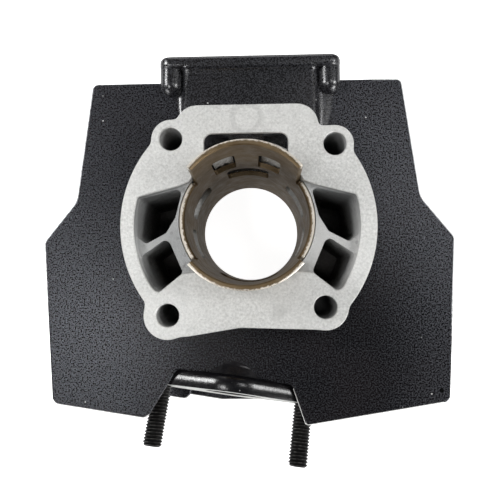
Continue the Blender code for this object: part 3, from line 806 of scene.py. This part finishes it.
fillet_levels = [(-2.6, -0.4), (-1.9, 0.05), (-1.0, 0.5), (-0.4, 1.1), (0.0, 1.8), (1.0, 1.8)]
fillet = slab("intake_fillet", fillet_outline, fillet_levels, SATIN, along_y(plate_back))
bosses = []
for x, z in INTAKE_SCREWS:
    turns = [math.pi / 2 * k / 6 for k in range(1, 7)]
    ball = [(INTAKE_BOSS_RADIUS * (1 - math.cos(a)), INTAKE_BOSS_RADIUS * (math.sin(a) - 1)) for a in turns]
    length = plate_back + 1.0 - INTAKE_BOSS_START_Y
    levels = [(0.02, -INTAKE_BOSS_RADIUS * 0.9)] + ball + [(length, 0.0)]
    bosses.append(slab("intake_boss", circle(INTAKE_BOSS_RADIUS, 32, (x, -z)), levels, SATIN,
                       along_y(INTAKE_BOSS_START_Y)))
combine(casting, [duct, fillet, plate] + bosses, "UNION")
print("with intake, faces:", len(casting.data.polygons))

# %% [markdown]
# ## Exhaust duct
# The exhaust leaves on the other side, turned a little and rising towards the crankcase. A round
# duct ends in a flange with two ears. Only its face is milled.

# %% Exhaust solids
EXHAUST_FLANGE_RADIUS = 21.0
EXHAUST_EAR_RADIUS = 9.0
EXHAUST_STUD_HALF_SPACING = 29.3
EXHAUST_DUCT_RADIUS = 16.6
EXHAUST_PORT_RADIUS = 13.0
EXHAUST_STUD_RADIUS = 3.95
EXHAUST_STUD_PROJECTION = 24.0
EXHAUST_STUD_LENGTH = 40.0
EXHAUST_SOCKET_DEPTH = 16.5
EXHAUST_BOSS_RADIUS = 7.5


def ear_outline(middle_radius, ear_radius, spacing, steps=14):
    """Outline of a two-stud flange: a round middle drawn out to an ear at each stud."""
    lean = math.degrees(math.acos((middle_radius - ear_radius) / spacing))
    outline = []
    for centre, radius, start, end in ((spacing, ear_radius, -lean, lean),
                                       (0.0, middle_radius, lean, 180.0 - lean),
                                       (-spacing, ear_radius, 180.0 - lean, 180.0 + lean),
                                       (0.0, middle_radius, 180.0 + lean, 360.0 - lean)):
        for i in range(steps):
            x, y = polar(start + (end - start) * i / steps, radius)
            outline.append((x + centre, y))
    return outline


flange_start = EXHAUST_FACE - EXHAUST_FLANGE_THICKNESS
exhaust_duct = slab("exhaust_duct", circle(EXHAUST_DUCT_RADIUS, 96),
                    [(26.0, 0.0), (flange_start - 6.0, 0.0), (flange_start - 3.0, 0.6),
                     (flange_start + 1.0, 1.6)], GLOSSY, EXHAUST)
crown = [(-1.0, -1.7), (-0.86, -0.85), (-0.62, -0.36), (-0.3, -0.09),
         (0.0, 0.0), (0.3, -0.05), (0.6, -0.2), (0.85, -0.42)]
flange_levels = [(EXHAUST_FACE - EXHAUST_FLANGE_THICKNESS * (1 - at) / 2, growth) for at, growth in crown]
flange_levels.append((EXHAUST_FACE, -0.62))
flange_outline = ear_outline(EXHAUST_FLANGE_RADIUS, EXHAUST_EAR_RADIUS, EXHAUST_STUD_HALF_SPACING)
exhaust_flange = slab("exhaust_flange", flange_outline, flange_levels, GLOSSY, EXHAUST)
stud_places = [(side * EXHAUST_STUD_HALF_SPACING, 0.0) for side in (-1, 1)]
boss_levels = [(flange_start - 13.0, -1.0), (flange_start - 12.3, -0.2), (flange_start - 11.6, 0.0),
               (flange_start + 1.0, 0.0)]
ear_bosses = [slab("ear_boss", circle(EXHAUST_BOSS_RADIUS, 40, place), boss_levels, GLOSSY, EXHAUST)
              for place in stud_places]
combine(casting, [exhaust_duct, exhaust_flange] + ear_bosses, "UNION")
print("with exhaust, faces:", len(casting.data.polygons))

# %% [markdown]
# ## Ports, windows and holes
# The mould's cores and the drills leave hollows. Each is a closed tool that is cut away:
# transfer windows beside the bore, the pocket behind the skirt, the reed opening, the exhaust
# port, stud holes and the bore itself. A tool that widens at the face leaves a chamfer.

# %% Cutting tools
TRANSFER_PORT_Z = (34.0, 46.0)
TRANSFER_PORT_ANGLES = [(10.0, 46.0), (-34.0, -2.0)]
WINDOW_OUTER_RADIUS = 41.2


def flange_arc(radius, start, end):
    """Points of an arc about the base flange's centre, three degrees apart."""
    steps = round(abs(end - start) / 3.0)
    return [tuple(Vector(polar(start + (end - start) * i / steps, radius)) + Vector(FLANGE_CENTRE))
            for i in range(steps + 1)]


UPPER_WINDOW = ([(24.0, 12.8)] + flange_arc(WINDOW_OUTER_RADIUS, 15.0, -5.0)
                + [(38.2, -8.4), (30.4, -4.3), (26.9, 1.6)])
LOWER_WINDOW = ([(30.8, -6.7)] + flange_arc(WINDOW_OUTER_RADIUS, -15.5, -33.0)
                + [(32.8, -26.4), (24.1, -19.4), (29.0, -8.0)])
WINDOW_CORNER = 1.8
LEDGE_OUTLINE = ([(17.0, 16.2), (25.2, 12.9)] + flange_arc(41.45, 15.3, -33.5)
                 + [(33.0, -26.6), (24.2, -19.7), (16.0, -18.6)])
POCKET_HALF_WIDTH = 15.6
POCKET_BACK_Y = 32.2
POCKET_FLOOR = 50.0
BOOST_PORT_Z = (35.5, 51.0)
REED_OPENING_HALF_WIDTH = 21.0
REED_OPENING_Z = (27.0, 58.5)
REED_OPENING_START_Y = 36.0


def mirrored(outline):
    """The same outline on the other side of the bore."""
    return [(-x, y) for x, y in reversed(outline)]


def ring_piece(inner, outer, start, end, steps=8):
    """Closed ring piece between two radii and two angles in degrees."""
    angles = [start + (end - start) * i / steps for i in range(steps + 1)]
    return [polar(a, outer) for a in angles] + [polar(a, inner) for a in reversed(angles)]


tools = []
for window, (start, end) in zip((UPPER_WINDOW, LOWER_WINDOW), TRANSFER_PORT_ANGLES):
    shaft = rounded(window, WINDOW_CORNER, 4)
    mouth = ring_piece(20.0, 32.5, start, end)
    for mirror in (False, True):
        shape, port = (mirrored(shaft), mirrored(mouth)) if mirror else (shaft, mouth)
        tools.append(slab("window", shape, [(TRANSFER_PORT_Z[0] - 0.5, -1.5), (50.0, -0.8), (LEDGE - 4.0, 0.0),
                          (BASE_FACE - 0.5, 0.0), (BASE_FACE, 0.45), (BASE_FACE + 1.0, 1.4)], CAST))
        tools.append(slab("transfer_port", port, [(TRANSFER_PORT_Z[0], 0.0), (TRANSFER_PORT_Z[1], 0.0)], CAST))
for outline in (LEDGE_OUTLINE, mirrored(LEDGE_OUTLINE)):
    levels = [(LEDGE, -0.6), (LEDGE + 0.2, -0.2), (LEDGE + 0.7, 0.0), (BASE_FACE - 0.35, 0.0),
              (BASE_FACE + 1.0, 1.35)]
    tools.append(slab("ledge", rounded(outline, 1.6, 4), levels, CAST))
pocket = [(-POCKET_HALF_WIDTH, 15.0), (POCKET_HALF_WIDTH, 15.0), (POCKET_HALF_WIDTH, POCKET_BACK_Y),
          (-POCKET_HALF_WIDTH, POCKET_BACK_Y)]
levels = [(POCKET_FLOOR, -2.0), (POCKET_FLOOR + 0.8, -1.2), (BASE_FACE - 0.5, 0.0), (BASE_FACE, 0.35),
          (BASE_FACE + 1.0, 1.3)]
# The pocket's walls take the black coat, as painted shade in the recess behind the skirt.
tools.append(slab("pocket", rounded(pocket, [0.0, 0.0, 3.0, 3.0]), levels, PAINTED))
reed_box = box_outline(INTAKE_CENTRE_X, REED_OPENING_HALF_WIDTH, -REED_OPENING_Z[1], -REED_OPENING_Z[0])
opening = rounded(reed_box, 4.0)
throat = rounded(box_outline(0.0, 17.0, -57.8, -BOOST_PORT_Z[0]), 2.0)
tools += [slab("reed_opening", opening, countersunk(0.0, INTAKE_FACE_Y - REED_OPENING_START_Y), CAST,
               along_y(REED_OPENING_START_Y)),
          slab("throat", throat, [(0.0, 0.0), (22.0, 0.0)], CAST, along_y(15.0)),
          slab("exhaust_port", circle(EXHAUST_PORT_RADIUS, 80), countersunk(10.0, EXHAUST_FACE), CAST, EXHAUST)]
for place in stud_places:
    tools.append(slab("stud_socket", circle(EXHAUST_STUD_RADIUS + SEAT_GAP, 40, place),
                      countersunk(EXHAUST_FACE - EXHAUST_SOCKET_DEPTH, EXHAUST_FACE, 0.5), MACHINED, EXHAUST))
for x, z in INTAKE_SCREWS:
    tools.append(slab("intake_screw_hole", circle(INTAKE_SCREW_RADIUS, 28, (x, -z)),
                      countersunk(0.0, INTAKE_SCREW_DEPTH, 0.5), MACHINED,
                      along_y(INTAKE_FACE_Y - INTAKE_SCREW_DEPTH)))
for hole in STUD_HOLES:
    levels = [(-1.0, 1.4), (0.4, 0.0), (BASE_FACE - 0.35, 0.0), (BASE_FACE + 1.0, 1.35)]
    tools.append(slab("crankcase_stud_hole", circle(STUD_HOLE_RADIUS, 56, hole), levels, CAST))
bore_levels = [(-1.0, 1.3), (0.3, 0.0), (BASE_FACE - 0.3, 0.0), (BASE_FACE + 1.0, 1.3)]
tools.append(slab("bore", circle(LINER_RADIUS + SEAT_GAP, 180), bore_levels, MACHINED))
print("cutting tools:", len(tools))
combine(casting, tools, "DIFFERENCE")


RAMP_STEPS = ((25.95, 49.0), (26.0, 54.0), (26.5, 56.5), (27.2, 58.5), (28.0, 61.0), (29.0, 63.5), (30.4, 66.0))


def port_ramp(start, end, seed):
    """Rough cast ramp behind a skirt port, low at the liner and high at the pocket's back."""
    rings = []
    for k, (inner, height) in enumerate(RAMP_STEPS):
        outline = []
        for i, (x, y) in enumerate(ring_piece(inner, 31.5 if inner < 31 else inner + 0.5, start, end, 12)):
            lump = math.sin(12.9 * i + 78.2 * k + seed) * 43.7 % 1.0 - 0.5 if i > 12 and k > 0 else 0.0
            outline.append((x * (1 + lump / 26), y * (1 + lump / 26), height + 1.6 * lump))
        rings.append(outline)
    return loft("port_ramp", rings, MACHINED)


combine(casting, [port_ramp(60.0, 77.5, 0.4), port_ramp(102.5, 120.0, 2.2)], "UNION")

# %% [markdown]
# ## Which metal shows where
# Milling takes the coat off the flat faces: the base, the head end, and the two port flanges.
# So the faces in those planes, with their chamfers, become machined aluminium. The rims of
# the fins get a number between 0 and 1 that tells the powder coat where hands and boxes rubbed;
# on the right edge of the top fin it is raised further, as a painted highlight.

# %% Machined faces, rim wear and a painted rim highlight
def mark_machined(mesh):
    """Give the milled planes their finish."""
    out = EXHAUST.to_3x3().col[2]
    marked = 0
    for face in mesh.polygons:
        middle, normal = face.center, face.normal
        on_base = middle.z > BASE_FACE - 0.32 and normal.z > 0.4
        on_head = middle.z < 0.05 and normal.z < -0.9
        on_intake = middle.y > INTAKE_FACE_Y - 0.02 and normal.y > 0.9
        on_exhaust = (middle - EXHAUST_AXIS_POINT).dot(out) > EXHAUST_FACE - 0.3 and normal.dot(out) > 0.5
        if on_base or on_head or on_intake or on_exhaust:
            face.material_index = MACHINED
            marked += 1
    return marked


def rim_wear_and_highlight(point):
    """How bare the coat is at a point: most on the right edge of the fin next to the base, where the extra pale
    rim is a painted highlight.
    """
    for top in FIN_TOPS:
        if top - 0.75 < point.z < top - 0.02:
            side = min(1.0, max(0.0, (abs(point.x) - 52.0) / 10.0)) if point.y > -60.0 else 0.0
            strength = 0.15 + (0.85 if point.x > 0 else 0.55) * side
            return strength if top == FIN_TOPS[0] else strength * 0.3
    return 0.0


def store_rim(mesh, rule):
    """Store on each vertex how bare its rim is, by a rule of its place."""
    rim = mesh.attributes.new("rim", "FLOAT", "POINT")
    for vertex in mesh.vertices:
        rim.data[vertex.index].value = rule(vertex.co)


print("machined faces:", mark_machined(casting.data))
store_rim(casting.data, rim_wear_and_highlight)
dressed(casting, "cylinder_casting")

# %% [markdown]
# ## Iron liner
# The liner is a thin iron tube. Its lower end is left standing as a skirt on the intake and
# exhaust sides, and cut down to the ledge on the other two, so that the connecting rod and the
# transfer flow have room. Its rim is one height that changes with the angle, so it is built as
# a ring of cross sections, each as tall as the rim is there. The ports are cut afterwards.

# %% Liner finish
def make_liner_iron():
    made, tree, shader, place = new_finish("liner_iron", 0.42, 0.75, 0.3)
    skin = use(tree, lumps, Vector=place, Lump_Scale=260.0, Fine_Scale=1700.0, Fine_Share=0.5)
    tone = span(tree, skin["Drift"], 0.3, 0.72)
    colour = blend_colours(tree, tone, (0.118, 0.079, 0.04, 1), (0.205, 0.143, 0.075, 1))
    band = stretched(tree, place, (1.0, 1.0, 14.0))
    turning = use(tree, lumps, Vector=band, Lump_Scale=160.0, Fine_Scale=420.0, Fine_Share=0.6)["Height"]
    colour = blend_colours(tree, span(tree, turning, 0.6, 1.0, 0.0, 0.45), colour, (0.27, 0.212, 0.14, 1))
    line = stretched(tree, place, (5.0, 5.0, 0.35))
    marks = use(tree, scratches, Vector=line, Scale=180.0, Share=0.3)["Mask"]
    colour = blend_colours(tree, marks, colour, (0.06, 0.043, 0.027, 1), 0.35)
    edge = node(tree, "ShaderNodeAttribute", (("attribute_name", "rim"),)).outputs["Fac"]
    bare = use(tree, wear, Vector=place, Edge=edge, Scale=900.0, Reach=1.3)["Mask"]
    colour = blend_colours(tree, bare, colour, (0.8, 0.74, 0.65, 1))
    tree.links.new(colour, shader.inputs["Base Color"])
    tree.links.new(span(tree, skin["Height"], 0.4, 1.0, 0.3, 0.5), shader.inputs["Roughness"])
    height = calculate(tree, "ADD", skin["Height"], calculate(tree, "MULTIPLY", turning, 0.5))
    bump(tree, shader, height, 0.00006)
    return made


liner_iron = make_liner_iron()

# %% Liner ring
SKIRT_HALF_ANGLE = 51.0
SKIRT_SLOPE_ANGLE = 2.6
SIDE_RIM = LEDGE
IRON, PASSAGE = 0, 1
BOOST_PORT_ANGLES = (68.5, 111.5)
SKIRT_PORT_ANGLES = [(57.5, 79.5), (100.5, 122.5)]
SKIRT_PORT_Z = (55.0, 75.5)


def rim_height(angle):
    """Height of the liner's rim: the skirt, a rounded slope at its ends, and the side rim."""
    away = abs((angle - 90.0 + 90.0) % 180.0 - 90.0)
    start = SKIRT_HALF_ANGLE - SKIRT_SLOPE_ANGLE / 2
    share = min(1.0, max(0.0, (away - start) / SKIRT_SLOPE_ANGLE))
    eased = share * share * (3 - 2 * share)
    scallop = 2.2 * math.exp(-((away - SKIRT_HALF_ANGLE - 2.6) / 1.5) ** 2)
    return SKIRT_END - (SKIRT_END - SIDE_RIM) * eased - scallop


def ring_angles():
    """Angles of the cross sections, close together where the rim slopes."""
    angles, angle = [], 0.0
    while angle < 359.99:
        angles.append(angle)
        away = abs(angle % 180.0 - 90.0)
        angle += 0.2 if abs(away - SKIRT_HALF_ANGLE - 0.5) < 6.0 else 1.5
    return angles


def make_liner_ring():
    """Closed ring whose sections carry a small chamfer at the rim, inside and outside."""
    chamfer = 0.35
    bm = bmesh.new()
    sections = []
    for angle in ring_angles():
        top = rim_height(angle)
        profile = [(BORE_RADIUS, 0.6), (BORE_RADIUS + 0.6, 0.0), (LINER_RADIUS, 0.0),
                   (LINER_RADIUS, LEDGE - 8.0),
                   (LINER_RADIUS, top - 1.0), (LINER_RADIUS, top - chamfer), (LINER_RADIUS - chamfer, top),
                   (BORE_RADIUS + 1.3 * chamfer, top), (BORE_RADIUS, top - 2.0 * chamfer),
                   (BORE_RADIUS, LEDGE - 8.0)]
        sections.append([bm.verts.new((*polar(angle, r), z)) for r, z in profile])
    for i, here in enumerate(sections):
        after = sections[(i + 1) % len(sections)]
        for k in range(len(here)):
            j = (k + 1) % len(here)
            bm.faces.new((here[k], after[k], after[j], here[j]))
    bmesh.ops.recalc_face_normals(bm, faces=bm.faces)
    mesh = bpy.data.meshes.new("liner")
    bm.to_mesh(mesh)
    bm.free()
    for each in (liner_iron, finishes[MACHINED]):
        mesh.materials.append(each)
    return placed("cylinder_liner_skin", mesh)


def port_tool(start, end, low, high, corner, finish=IRON):
    """Cutter for a port with round corners, wrapped round the bore."""
    middle = (start + end) / 2
    half = math.radians(end - start) / 2 * LINER_RADIUS
    shape = rounded([(-half, low), (half, low), (half, high), (-half, high)], corner, 5)
    dense = []
    for i, point in enumerate(shape):
        after = Vector(shape[(i + 1) % len(shape)])
        here = Vector(point)
        parts = max(1, int((after - here).length / 1.5))
        dense += [here.lerp(after, k / parts) for k in range(parts)]
    rings = []
    for radius in (BORE_RADIUS - 4.0, LINER_RADIUS + 3.0):
        rings.append([Vector((*polar(middle + math.degrees(p[0] / LINER_RADIUS), radius), p[1]))
                      for p in dense])
    return loft("port", rings, finish)


liner = make_liner_ring()
port_cuts = []
for start, end in TRANSFER_PORT_ANGLES:
    port_cuts += [port_tool(start, end, *TRANSFER_PORT_Z, 2.2, PASSAGE),
                  port_tool(180.0 - end, 180.0 - start, *TRANSFER_PORT_Z, 2.2, PASSAGE)]
port_cuts.append(port_tool(*BOOST_PORT_ANGLES, *BOOST_PORT_Z, 2.0))
port_cuts += [port_tool(*angles, *SKIRT_PORT_Z, 1.6) for angles in SKIRT_PORT_ANGLES]
window = rounded([(-13.0, -9.5), (13.0, -9.5), (13.0, 9.5), (-13.0, 9.5)], 5.0, 8)
port_cuts.append(slab("exhaust_window", window, [(5.0, 0.0), (32.0, 0.0)], IRON, EXHAUST))
combine(liner, port_cuts, "DIFFERENCE")


def liner_wear(point):
    """How bright the rim is rubbed: most at the skirt's ends and on the outer edge of the side rims."""
    angle = math.degrees(math.atan2(point.y, point.x)) % 360.0
    away = abs(angle % 180.0 - 90.0)
    if rim_height(angle) - point.z > 0.9:
        return 0.0
    outer = min(1.0, max(0.0, (Vector((point.x, point.y)).length - BORE_RADIUS - 0.4) / 1.2))
    if away > SKIRT_HALF_ANGLE + SKIRT_SLOPE_ANGLE:
        return 0.5 + 0.9 * outer
    if away > SKIRT_HALF_ANGLE - 0.6:
        return 0.0
    return (1.0 + 0.7 * max(0.0, (away - 26.0) / 25.0)) * outer


store_rim(liner.data, liner_wear)
dressed(liner, "cylinder_liner", 28.0)

# %% [markdown]
# ## Exhaust studs
# Two M8 studs are screwed into the flange. A thread is a ridge that follows a helix: at each
# point of the bar, the ridge's height depends only on how far the point is along the bar, less
# one pitch for each turn round it. That rule is a Geometry Nodes tree, which moves each point of
# a plain bar in or out, and stores how near the crest it is, so the black finish can wear there.

# %% Black oxide finish
def make_black_oxide():
    made, tree, shader, place = new_finish("black_oxide_steel", 0.42, 0.9)
    skin = use(tree, lumps, Vector=place, Lump_Scale=700.0, Fine_Scale=2600.0, Fine_Share=0.5)
    tone = span(tree, skin["Drift"], 0.3, 0.7)
    colour = blend_colours(tree, tone, (0.012, 0.012, 0.013, 1), (0.03, 0.029, 0.028, 1))
    crest = node(tree, "ShaderNodeAttribute", (("attribute_name", "crest"),)).outputs["Fac"]
    bare = use(tree, wear, Vector=place, Edge=crest, Scale=900.0, Reach=1.5)["Mask"]
    colour = blend_colours(tree, bare, colour, (0.24, 0.235, 0.225, 1), 0.4)
    tree.links.new(colour, shader.inputs["Base Color"])
    tree.links.new(span(tree, skin["Height"], 0.4, 1.0, 0.32, 0.55), shader.inputs["Roughness"])
    bump(tree, shader, skin["Height"], 0.00005)
    return made


black_oxide = make_black_oxide()


# %% The thread tree
def make_thread_tree():
    """Geometry Nodes tree that turns a bar along Z into a threaded stud."""
    tree = bpy.data.node_groups.new("stud_thread", "GeometryNodeTree")
    wanted = (("Bar", "Geometry"), ("Pitch", "Float"), ("Depth", "Float"), ("Radius", "Float"),
              ("Low End", "Float"), ("High End", "Float"), ("Chamfer", "Float"), ("Finish", "Material"))
    sockets = {}
    for label, kind in wanted:
        made = tree.interface.new_socket(label, in_out="INPUT", socket_type="NodeSocket" + kind)
        sockets[label] = made.identifier
    tree.interface.new_socket("Stud", in_out="OUTPUT", socket_type="NodeSocketGeometry")
    start, end = tree.nodes.new("NodeGroupInput"), tree.nodes.new("NodeGroupOutput")
    given = start.outputs
    place = node(tree, "ShaderNodeSeparateXYZ", Vector=tree.nodes.new("GeometryNodeInputPosition").outputs[0])
    angle = calculate(tree, "ARCTAN2", place.outputs["Y"], place.outputs["X"])
    turn = calculate(tree, "DIVIDE", angle, 2 * math.pi)
    along = calculate(tree, "DIVIDE", place.outputs["Z"], given["Pitch"])
    phase = calculate(tree, "PINGPONG", calculate(tree, "SUBTRACT", along, turn), 0.5)
    flank = node(tree, "ShaderNodeMapRange", Value=phase, From_Min=0.07, From_Max=0.42, To_Min=0.0, To_Max=1.0)
    cut = calculate(tree, "MULTIPLY", calculate(tree, "SUBTRACT", 1.0, flank.outputs[0]), given["Depth"])
    threaded = calculate(tree, "SUBTRACT", given["Radius"], cut)
    to_low = calculate(tree, "SUBTRACT", place.outputs["Z"], given["Low End"])
    to_high = calculate(tree, "SUBTRACT", given["High End"], place.outputs["Z"])
    blunt = calculate(tree, "SUBTRACT", given["Radius"], given["Chamfer"])
    cone = calculate(tree, "ADD", blunt, calculate(tree, "MINIMUM", to_low, to_high))
    radius = calculate(tree, "MINIMUM", threaded, cone)
    share = calculate(tree, "DIVIDE", radius, given["Radius"])
    scale = node(tree, "ShaderNodeCombineXYZ", X=calculate(tree, "MULTIPLY", place.outputs["X"], share),
                 Y=calculate(tree, "MULTIPLY", place.outputs["Y"], share), Z=place.outputs["Z"])
    moved = node(tree, "GeometryNodeSetPosition", Geometry=given["Bar"], Position=scale.outputs[0])
    stored = node(tree, "GeometryNodeStoreNamedAttribute", (("data_type", "FLOAT"), ("domain", "POINT")),
                  Geometry=moved.outputs[0], Name="crest")
    tree.links.new(flank.outputs[0], next(s for s in stored.inputs if s.name == "Value" and s.enabled))
    real = node(tree, "GeometryNodeRealizeInstances", Geometry=stored.outputs[0])
    painted = node(tree, "GeometryNodeSetMaterial", Geometry=real.outputs[0], Material=given["Finish"])
    tree.links.new(painted.outputs[0], end.inputs[0])
    return tree, sockets


thread_tree, thread_sockets = make_thread_tree()

# %% Studs
THREAD_PITCH = 1.25
THREAD_DEPTH = 0.68
STUD_END_CHAMFER = 0.9


def make_stud(name, cad_node, place_on_flange):
    """Bar of rings with round ends, threaded by the tree and set in its socket."""
    low, high = EXHAUST_STUD_PROJECTION - EXHAUST_STUD_LENGTH, EXHAUST_STUD_PROJECTION - 0.02
    steps = round(EXHAUST_STUD_LENGTH / THREAD_PITCH * 8)
    heights = [low + (high - low) * i / steps for i in range(steps + 1)]
    ring = circle(EXHAUST_STUD_RADIUS, 40)
    bar = loft(name, [[(x, y, z) for x, y in ring] for z in heights])
    values = {"Pitch": THREAD_PITCH, "Depth": THREAD_DEPTH, "Radius": EXHAUST_STUD_RADIUS, "Low End": low,
              "High End": high, "Chamfer": STUD_END_CHAMFER, "Finish": black_oxide}
    grow_by_tree(bar, thread_tree, thread_sockets, values, [black_oxide])
    bar.data.transform(EXHAUST @ Matrix.Translation((*place_on_flange, EXHAUST_FACE)))
    return dressed(bar, cad_node, 50.0)


for name, place_on_flange in zip(("exhaust_stud_left", "exhaust_stud_right"), stud_places):
    make_stud(name + "_threaded", name, place_on_flange)

# %% [markdown]
# ## Table, light and camera
# The barrel stands on its head gasket face on a white table, and the camera looks down on the
# base flange. Two small lights stand high at the sides and larger soft ones lower all round, so
# rounded rims catch them while the flat black plates stay dark.

# %% Table
TABLE_GLOW_SEEN = 0.95
TABLE_GLOW_CAST = 0.22
TABLE_GAP = 0.0002
TABLE_RADIUS = 1.6


def make_table_white():
    """White table, backlit like a light table where it is seen directly."""
    made, tree, shader, place = new_finish("table_white", 0.7, 0.0, 0.2)
    soft = node(tree, "ShaderNodeTexNoise", Vector=place, Scale=3.0, Detail=2.0).outputs["Fac"]
    colour = blend_colours(tree, soft, (0.86, 0.86, 0.86, 1), (0.9, 0.9, 0.9, 1))
    tree.links.new(colour, shader.inputs["Base Color"])
    seen = tree.nodes.new("ShaderNodeLightPath").outputs["Is Camera Ray"]
    glow = node(tree, "ShaderNodeMapRange", Value=seen, To_Min=TABLE_GLOW_CAST, To_Max=TABLE_GLOW_SEEN)
    shader.inputs["Emission Color"].default_value = (1, 1, 1, 1)
    tree.links.new(glow.outputs[0], shader.inputs["Emission Strength"])
    return made


table_mesh = bpy.data.meshes.new("table")
bm = bmesh.new()
bmesh.ops.create_circle(bm, cap_ends=True, segments=64, radius=TABLE_RADIUS)
bmesh.ops.translate(bm, verts=bm.verts, vec=(0.0, 0.0, -TABLE_GAP))
bm.to_mesh(table_mesh)
bm.free()
table = placed("table", table_mesh)
table_mesh.materials.append(make_table_white())

# %% Lights
ROOM_LIGHT = 0.07
LIGHTS = [("left_key", 200.0, 66.0, 0.6, 0.15, 0.62), ("right_key", 30.0, 65.0, 0.6, 0.15, 0.28),
          ("left_soft", 158.0, 36.0, 0.6, 0.2, 1.9), ("right_soft", 8.0, 38.0, 0.6, 0.22, 1.4),
          ("back_soft", 90.0, 22.0, 0.6, 0.5, 0.8), ("left_front", 222.0, 18.0, 0.6, 0.3, 1.2),
          ("right_front", -40.0, 18.0, 0.6, 0.3, 2.1)]
world = bpy.data.worlds.new("room")
world.use_nodes = True
world.node_tree.nodes["Background"].inputs["Color"].default_value = (0.93, 0.96, 1.0, 1)
world.node_tree.nodes["Background"].inputs["Strength"].default_value = ROOM_LIGHT
bpy.context.scene.world = world
centre = (cad_low + cad_high) / 2
for name, around, height, distance, size, power in LIGHTS:
    lamp = bpy.data.lights.new(name, "AREA")
    lamp.shape, lamp.size, lamp.size_y, lamp.energy = "RECTANGLE", size, size * 0.6, power
    holder = placed(name, lamp)
    a, e = math.radians(around), math.radians(height)
    back = Vector((math.cos(a) * math.cos(e), math.sin(a) * math.cos(e), math.sin(e)))
    holder.location = centre + back * distance
    holder.rotation_mode = "QUATERNION"
    holder.rotation_quaternion = (-back).to_track_quat("-Z", "Y")

# %% Camera
CAMERA_RIGHT = Vector((0.99965, -0.01126, -0.02397))
CAMERA_UP = Vector((0.01221, 0.99913, 0.03996))
CAMERA_PLACE = Vector((5.410, -18.550, 255.675))
camera = bpy.data.cameras.new("camera")
camera.lens, camera.sensor_width = 36.0, 36.0
camera.clip_start, camera.clip_end = 0.01, 10.0
viewer = placed("camera", camera)
axes = Matrix((CAMERA_RIGHT, CAMERA_UP, CAMERA_RIGHT.cross(CAMERA_UP))).transposed()
viewer.matrix_world = Matrix.Translation(TO_FRAME @ CAMERA_PLACE) @ axes.to_4x4()
bpy.context.scene.camera = viewer
bpy.context.scene.view_settings.view_transform = "Standard"
